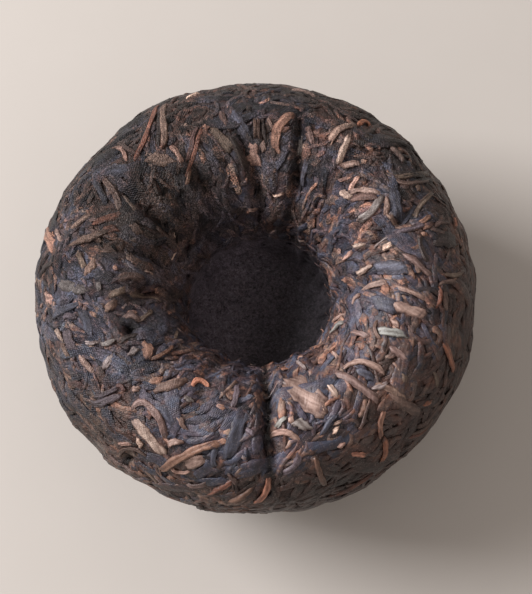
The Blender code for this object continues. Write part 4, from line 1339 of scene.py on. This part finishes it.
# the rest of the leaves, layer over layer; a pair is the least and the most of a measure
layers = {
    "deepLeaves": {
        "blank": "wide", "material": "duskLeaf",
        "sowing": {"Seed": 3, "Strips Per Area": 60000.0, "Spacing": 0.0030, "Length": (0.006, 0.015),
                   "Width": (0.0016, 0.0036), "Thick": (0.0004, 0.0006), "Top": (0.00005, 0.00030)},
        "shape": {"Ridges": 2.2, "Tiles": 64.0},
    },
    "slateLeaves": {
        "blank": "leaf", "material": "slateLeaf",
        "sowing": {"Seed": 101, "Strips Per Area": 100000.0, "Spacing": 0.0017, "Length": (0.0035, 0.010),
                   "Width": (0.0011, 0.0025), "Thick": (0.0006, 0.0010), "Top": (0.00027, 0.00047)},
        "shape": {"Furrow": 0.35, "Tiles": 64.0},
    },
    "duskLeaves": {
        "blank": "leaf", "material": "duskLeaf",
        "sowing": {"Seed": 211, "Strips Per Area": 80000.0, "Spacing": 0.0018, "Length": (0.0035, 0.010),
                   "Width": (0.0010, 0.0021), "Thick": (0.0006, 0.0010), "Top": (0.00027, 0.00047)},
        "shape": {"Furrow": 0.35, "Tiles": 64.0},
    },
    "flatLeaves": {
        "blank": "wide", "material": "slateLeaf",
        "sowing": {"Room": "flatRoom", "Seed": 263, "Strips Per Area": 12000.0, "Spacing": 0.0034,
                   "Length": (0.005, 0.010), "Width": (0.0020, 0.0036), "Thick": (0.0004, 0.0006),
                   "Top": (0.00045, 0.00060), "Curl": 0.3},
        "shape": {"Furrow": 0.22, "Ridges": 2.4, "Tilt": 0.10, "Tiles": 40.0},
    },
    "brownLeaves": {
        "blank": "leaf", "material": "brownLeaf",
        "sowing": {"Room": "paleRoom", "Seed": 307, "Strips Per Area": 100000.0, "Spacing": 0.0016,
                   "Length": (0.003, 0.008), "Width": (0.0011, 0.0024), "Thick": (0.0006, 0.0009),
                   "Top": (0.00027, 0.00048), "Curl": 0.9},
        "shape": {"Furrow": 0.35, "Tiles": 64.0},
    },
    "strands": {
        "blank": "strand", "material": "strandLeaf",
        "sowing": {"Seed": 353, "Strips Per Area": 120000.0, "Spacing": 0.0011, "Length": (0.0035, 0.012),
                   "Width": (0.0008, 0.0014), "Thick": (0.0007, 0.0011), "Top": (0.00030, 0.00051),
                   "Curl": 1.9},
        "shape": {"Furrow": 0.15, "Ridges": 1.0, "Twist": 6.0, "Ragged": 0.5, "Tip Width": 0.4,
                  "Tip Power": 6.0, "Oblique": 0.3, "Tiles": 64.0},
    },
    "shreds": {
        "blank": "shred", "material": "strandLeaf",
        "sowing": {"Room": "paleRoom", "Seed": 379, "Strips Per Area": 20000.0, "Spacing": 0.0010,
                   "Length": (0.0020, 0.0070), "Width": (0.0004, 0.0008), "Thick": (0.0003, 0.0005),
                   "Top": (0.00030, 0.00060), "Curl": 1.1},
        "shape": {"Furrow": 0.0, "Ragged": 0.5, "Tip Width": 0.6, "Oblique": 0.3, "Tiles": 64.0},
    },
    "tanLeaves": {
        "blank": "leaf", "material": "tanLeaf",
        "sowing": {"Room": "paleRoom", "Seed": 401, "Strips Per Area": 46000.0, "Spacing": 0.0020,
                   "Length": (0.0030, 0.0080), "Width": (0.0011, 0.0026), "Thick": (0.0004, 0.0006),
                   "Top": (0.00028, 0.00049), "Curl": 0.9},
        "shape": {"Tiles": 40.0},
    },
    "stalks": {
        "blank": "stalk", "material": "barkStalk",
        "sowing": {"Room": "paleRoom", "Seed": 503, "Strips Per Area": 12000.0, "Spacing": 0.0032,
                   "Length": (0.004, 0.010), "Width": (0.0006, 0.0011), "Thick": (0.0005, 0.0008),
                   "Top": (0.00030, 0.00060), "Curl": 0.4},
        "shape": {"Furrow": 0.1, "Tip Width": 0.7, "Tip Power": 9.0, "Ragged": 0.25, "Tilt": 0.0,
                  "Wander": 0.05, "Tiles": 24.0},
    },
    "chips": {
        "blank": "chip", "material": "paleChip",
        "sowing": {"Room": "paleRoom", "Seed": 601, "Strips Per Area": 30000.0, "Spacing": 0.0012,
                   "Length": (0.0010, 0.0026), "Width": (0.0008, 0.0017), "Thick": (0.0002, 0.0004),
                   "Top": (0.00026, 0.00052), "Stray": 2.2},
        "shape": {"Furrow": 0.2, "Tuck": 0.0003, "Tiles": 40.0},
    },
    "throatFibres": {
        "blank": "fibre", "material": "fibreHair",
        "sowing": {"Seed": 701, "Room": "lip", "Strips Per Area": 900000.0, "Spacing": 0.0009,
                   "Length": (0.0012, 0.0032), "Width": (0.00010, 0.00022), "Thick": (0.0001, 0.0002),
                   "Top": (0.0004, 0.0008), "Curl": 1.2, "Stray": 3.0},
        "shape": {"Furrow": 0.0, "Tip Width": 0.4, "Ragged": 0.1, "Tuck": 0.0, "Stand": 0.0009,
                  "Tiles": 48.0},
    },
}


def spreadPairs(values):
    # a tree takes the least and the most of a measure as two inputs
    spread = {}
    for name, value in values.items():
        if isinstance(value, tuple):
            spread["Least " + name], spread["Most " + name] = value
        else:
            spread[name] = value
    return spread


for name, layer in layers.items():
    growStrips(name, bpy.data.meshes.new_from_object(form), layer["blank"], leafMaterials[layer["material"]],
               layer["shape"], spreadPairs(layer["sowing"]))

for helper in [form, *blanks.values()]:
    bpy.data.objects.remove(helper)
print("all leaves laid")

studio = {
    "floorSize": 1.6, "floorColour": (0.50, 0.475, 0.445, 1), "toothColour": (0.40, 0.38, 0.35, 1),
    "keyTurn": 164, "keyHeight": 35, "keyDistance": 0.8, "keySize": 0.40, "keyPower": 10.4,
    "keyColour": (1.0, 0.97, 0.97),
    "skyStrength": 0.50, "skyColour": (1.0, 0.90, 0.84, 1),
}


def makeFloor():
    bpy.ops.mesh.primitive_grid_add(x_subdivisions=2, y_subdivisions=2, size=studio["floorSize"])
    floor = bpy.context.object
    floor.name = "floor"
    material, tree, shader = newMaterial("paleFloor", 0.7, 0.2)
    tooth = mapped(noiseAt(placeOnCake(tree)[0], 90.0, 3.0), 0.3, 0.7, 0.0, 0.06)
    feed(shader, {"Base Color": mixColours(tree, tooth, studio["floorColour"], studio["toothColour"])})
    floor.data.materials.append(material)


def makeLight():
    key = bpy.data.lights.new("softKey", "AREA")
    key.shape = "SQUARE"
    key.size = studio["keySize"]
    key.energy = studio["keyPower"]
    key.color = studio["keyColour"]
    lamp = addObject("softKey", key)
    turn, rise = math.radians(studio["keyTurn"]), math.radians(studio["keyHeight"])
    away = Vector((math.cos(turn) * math.cos(rise), math.sin(turn) * math.cos(rise), math.sin(rise)))
    lamp.location = away * studio["keyDistance"] + Vector((0, 0, view["middleHeight"]))
    lamp.rotation_euler = away.to_track_quat("Z", "Y").to_euler()

    sky = bpy.data.worlds.new("studioSky")
    sky.use_nodes = True
    feed(sky.node_tree.nodes["Background"].inputs, {
        "Color": studio["skyColour"], "Strength": studio["skyStrength"]})
    bpy.context.scene.world = sky
    bpy.context.scene.view_settings.view_transform = "Standard"


makeFloor()
makeLight()
print("studio set")
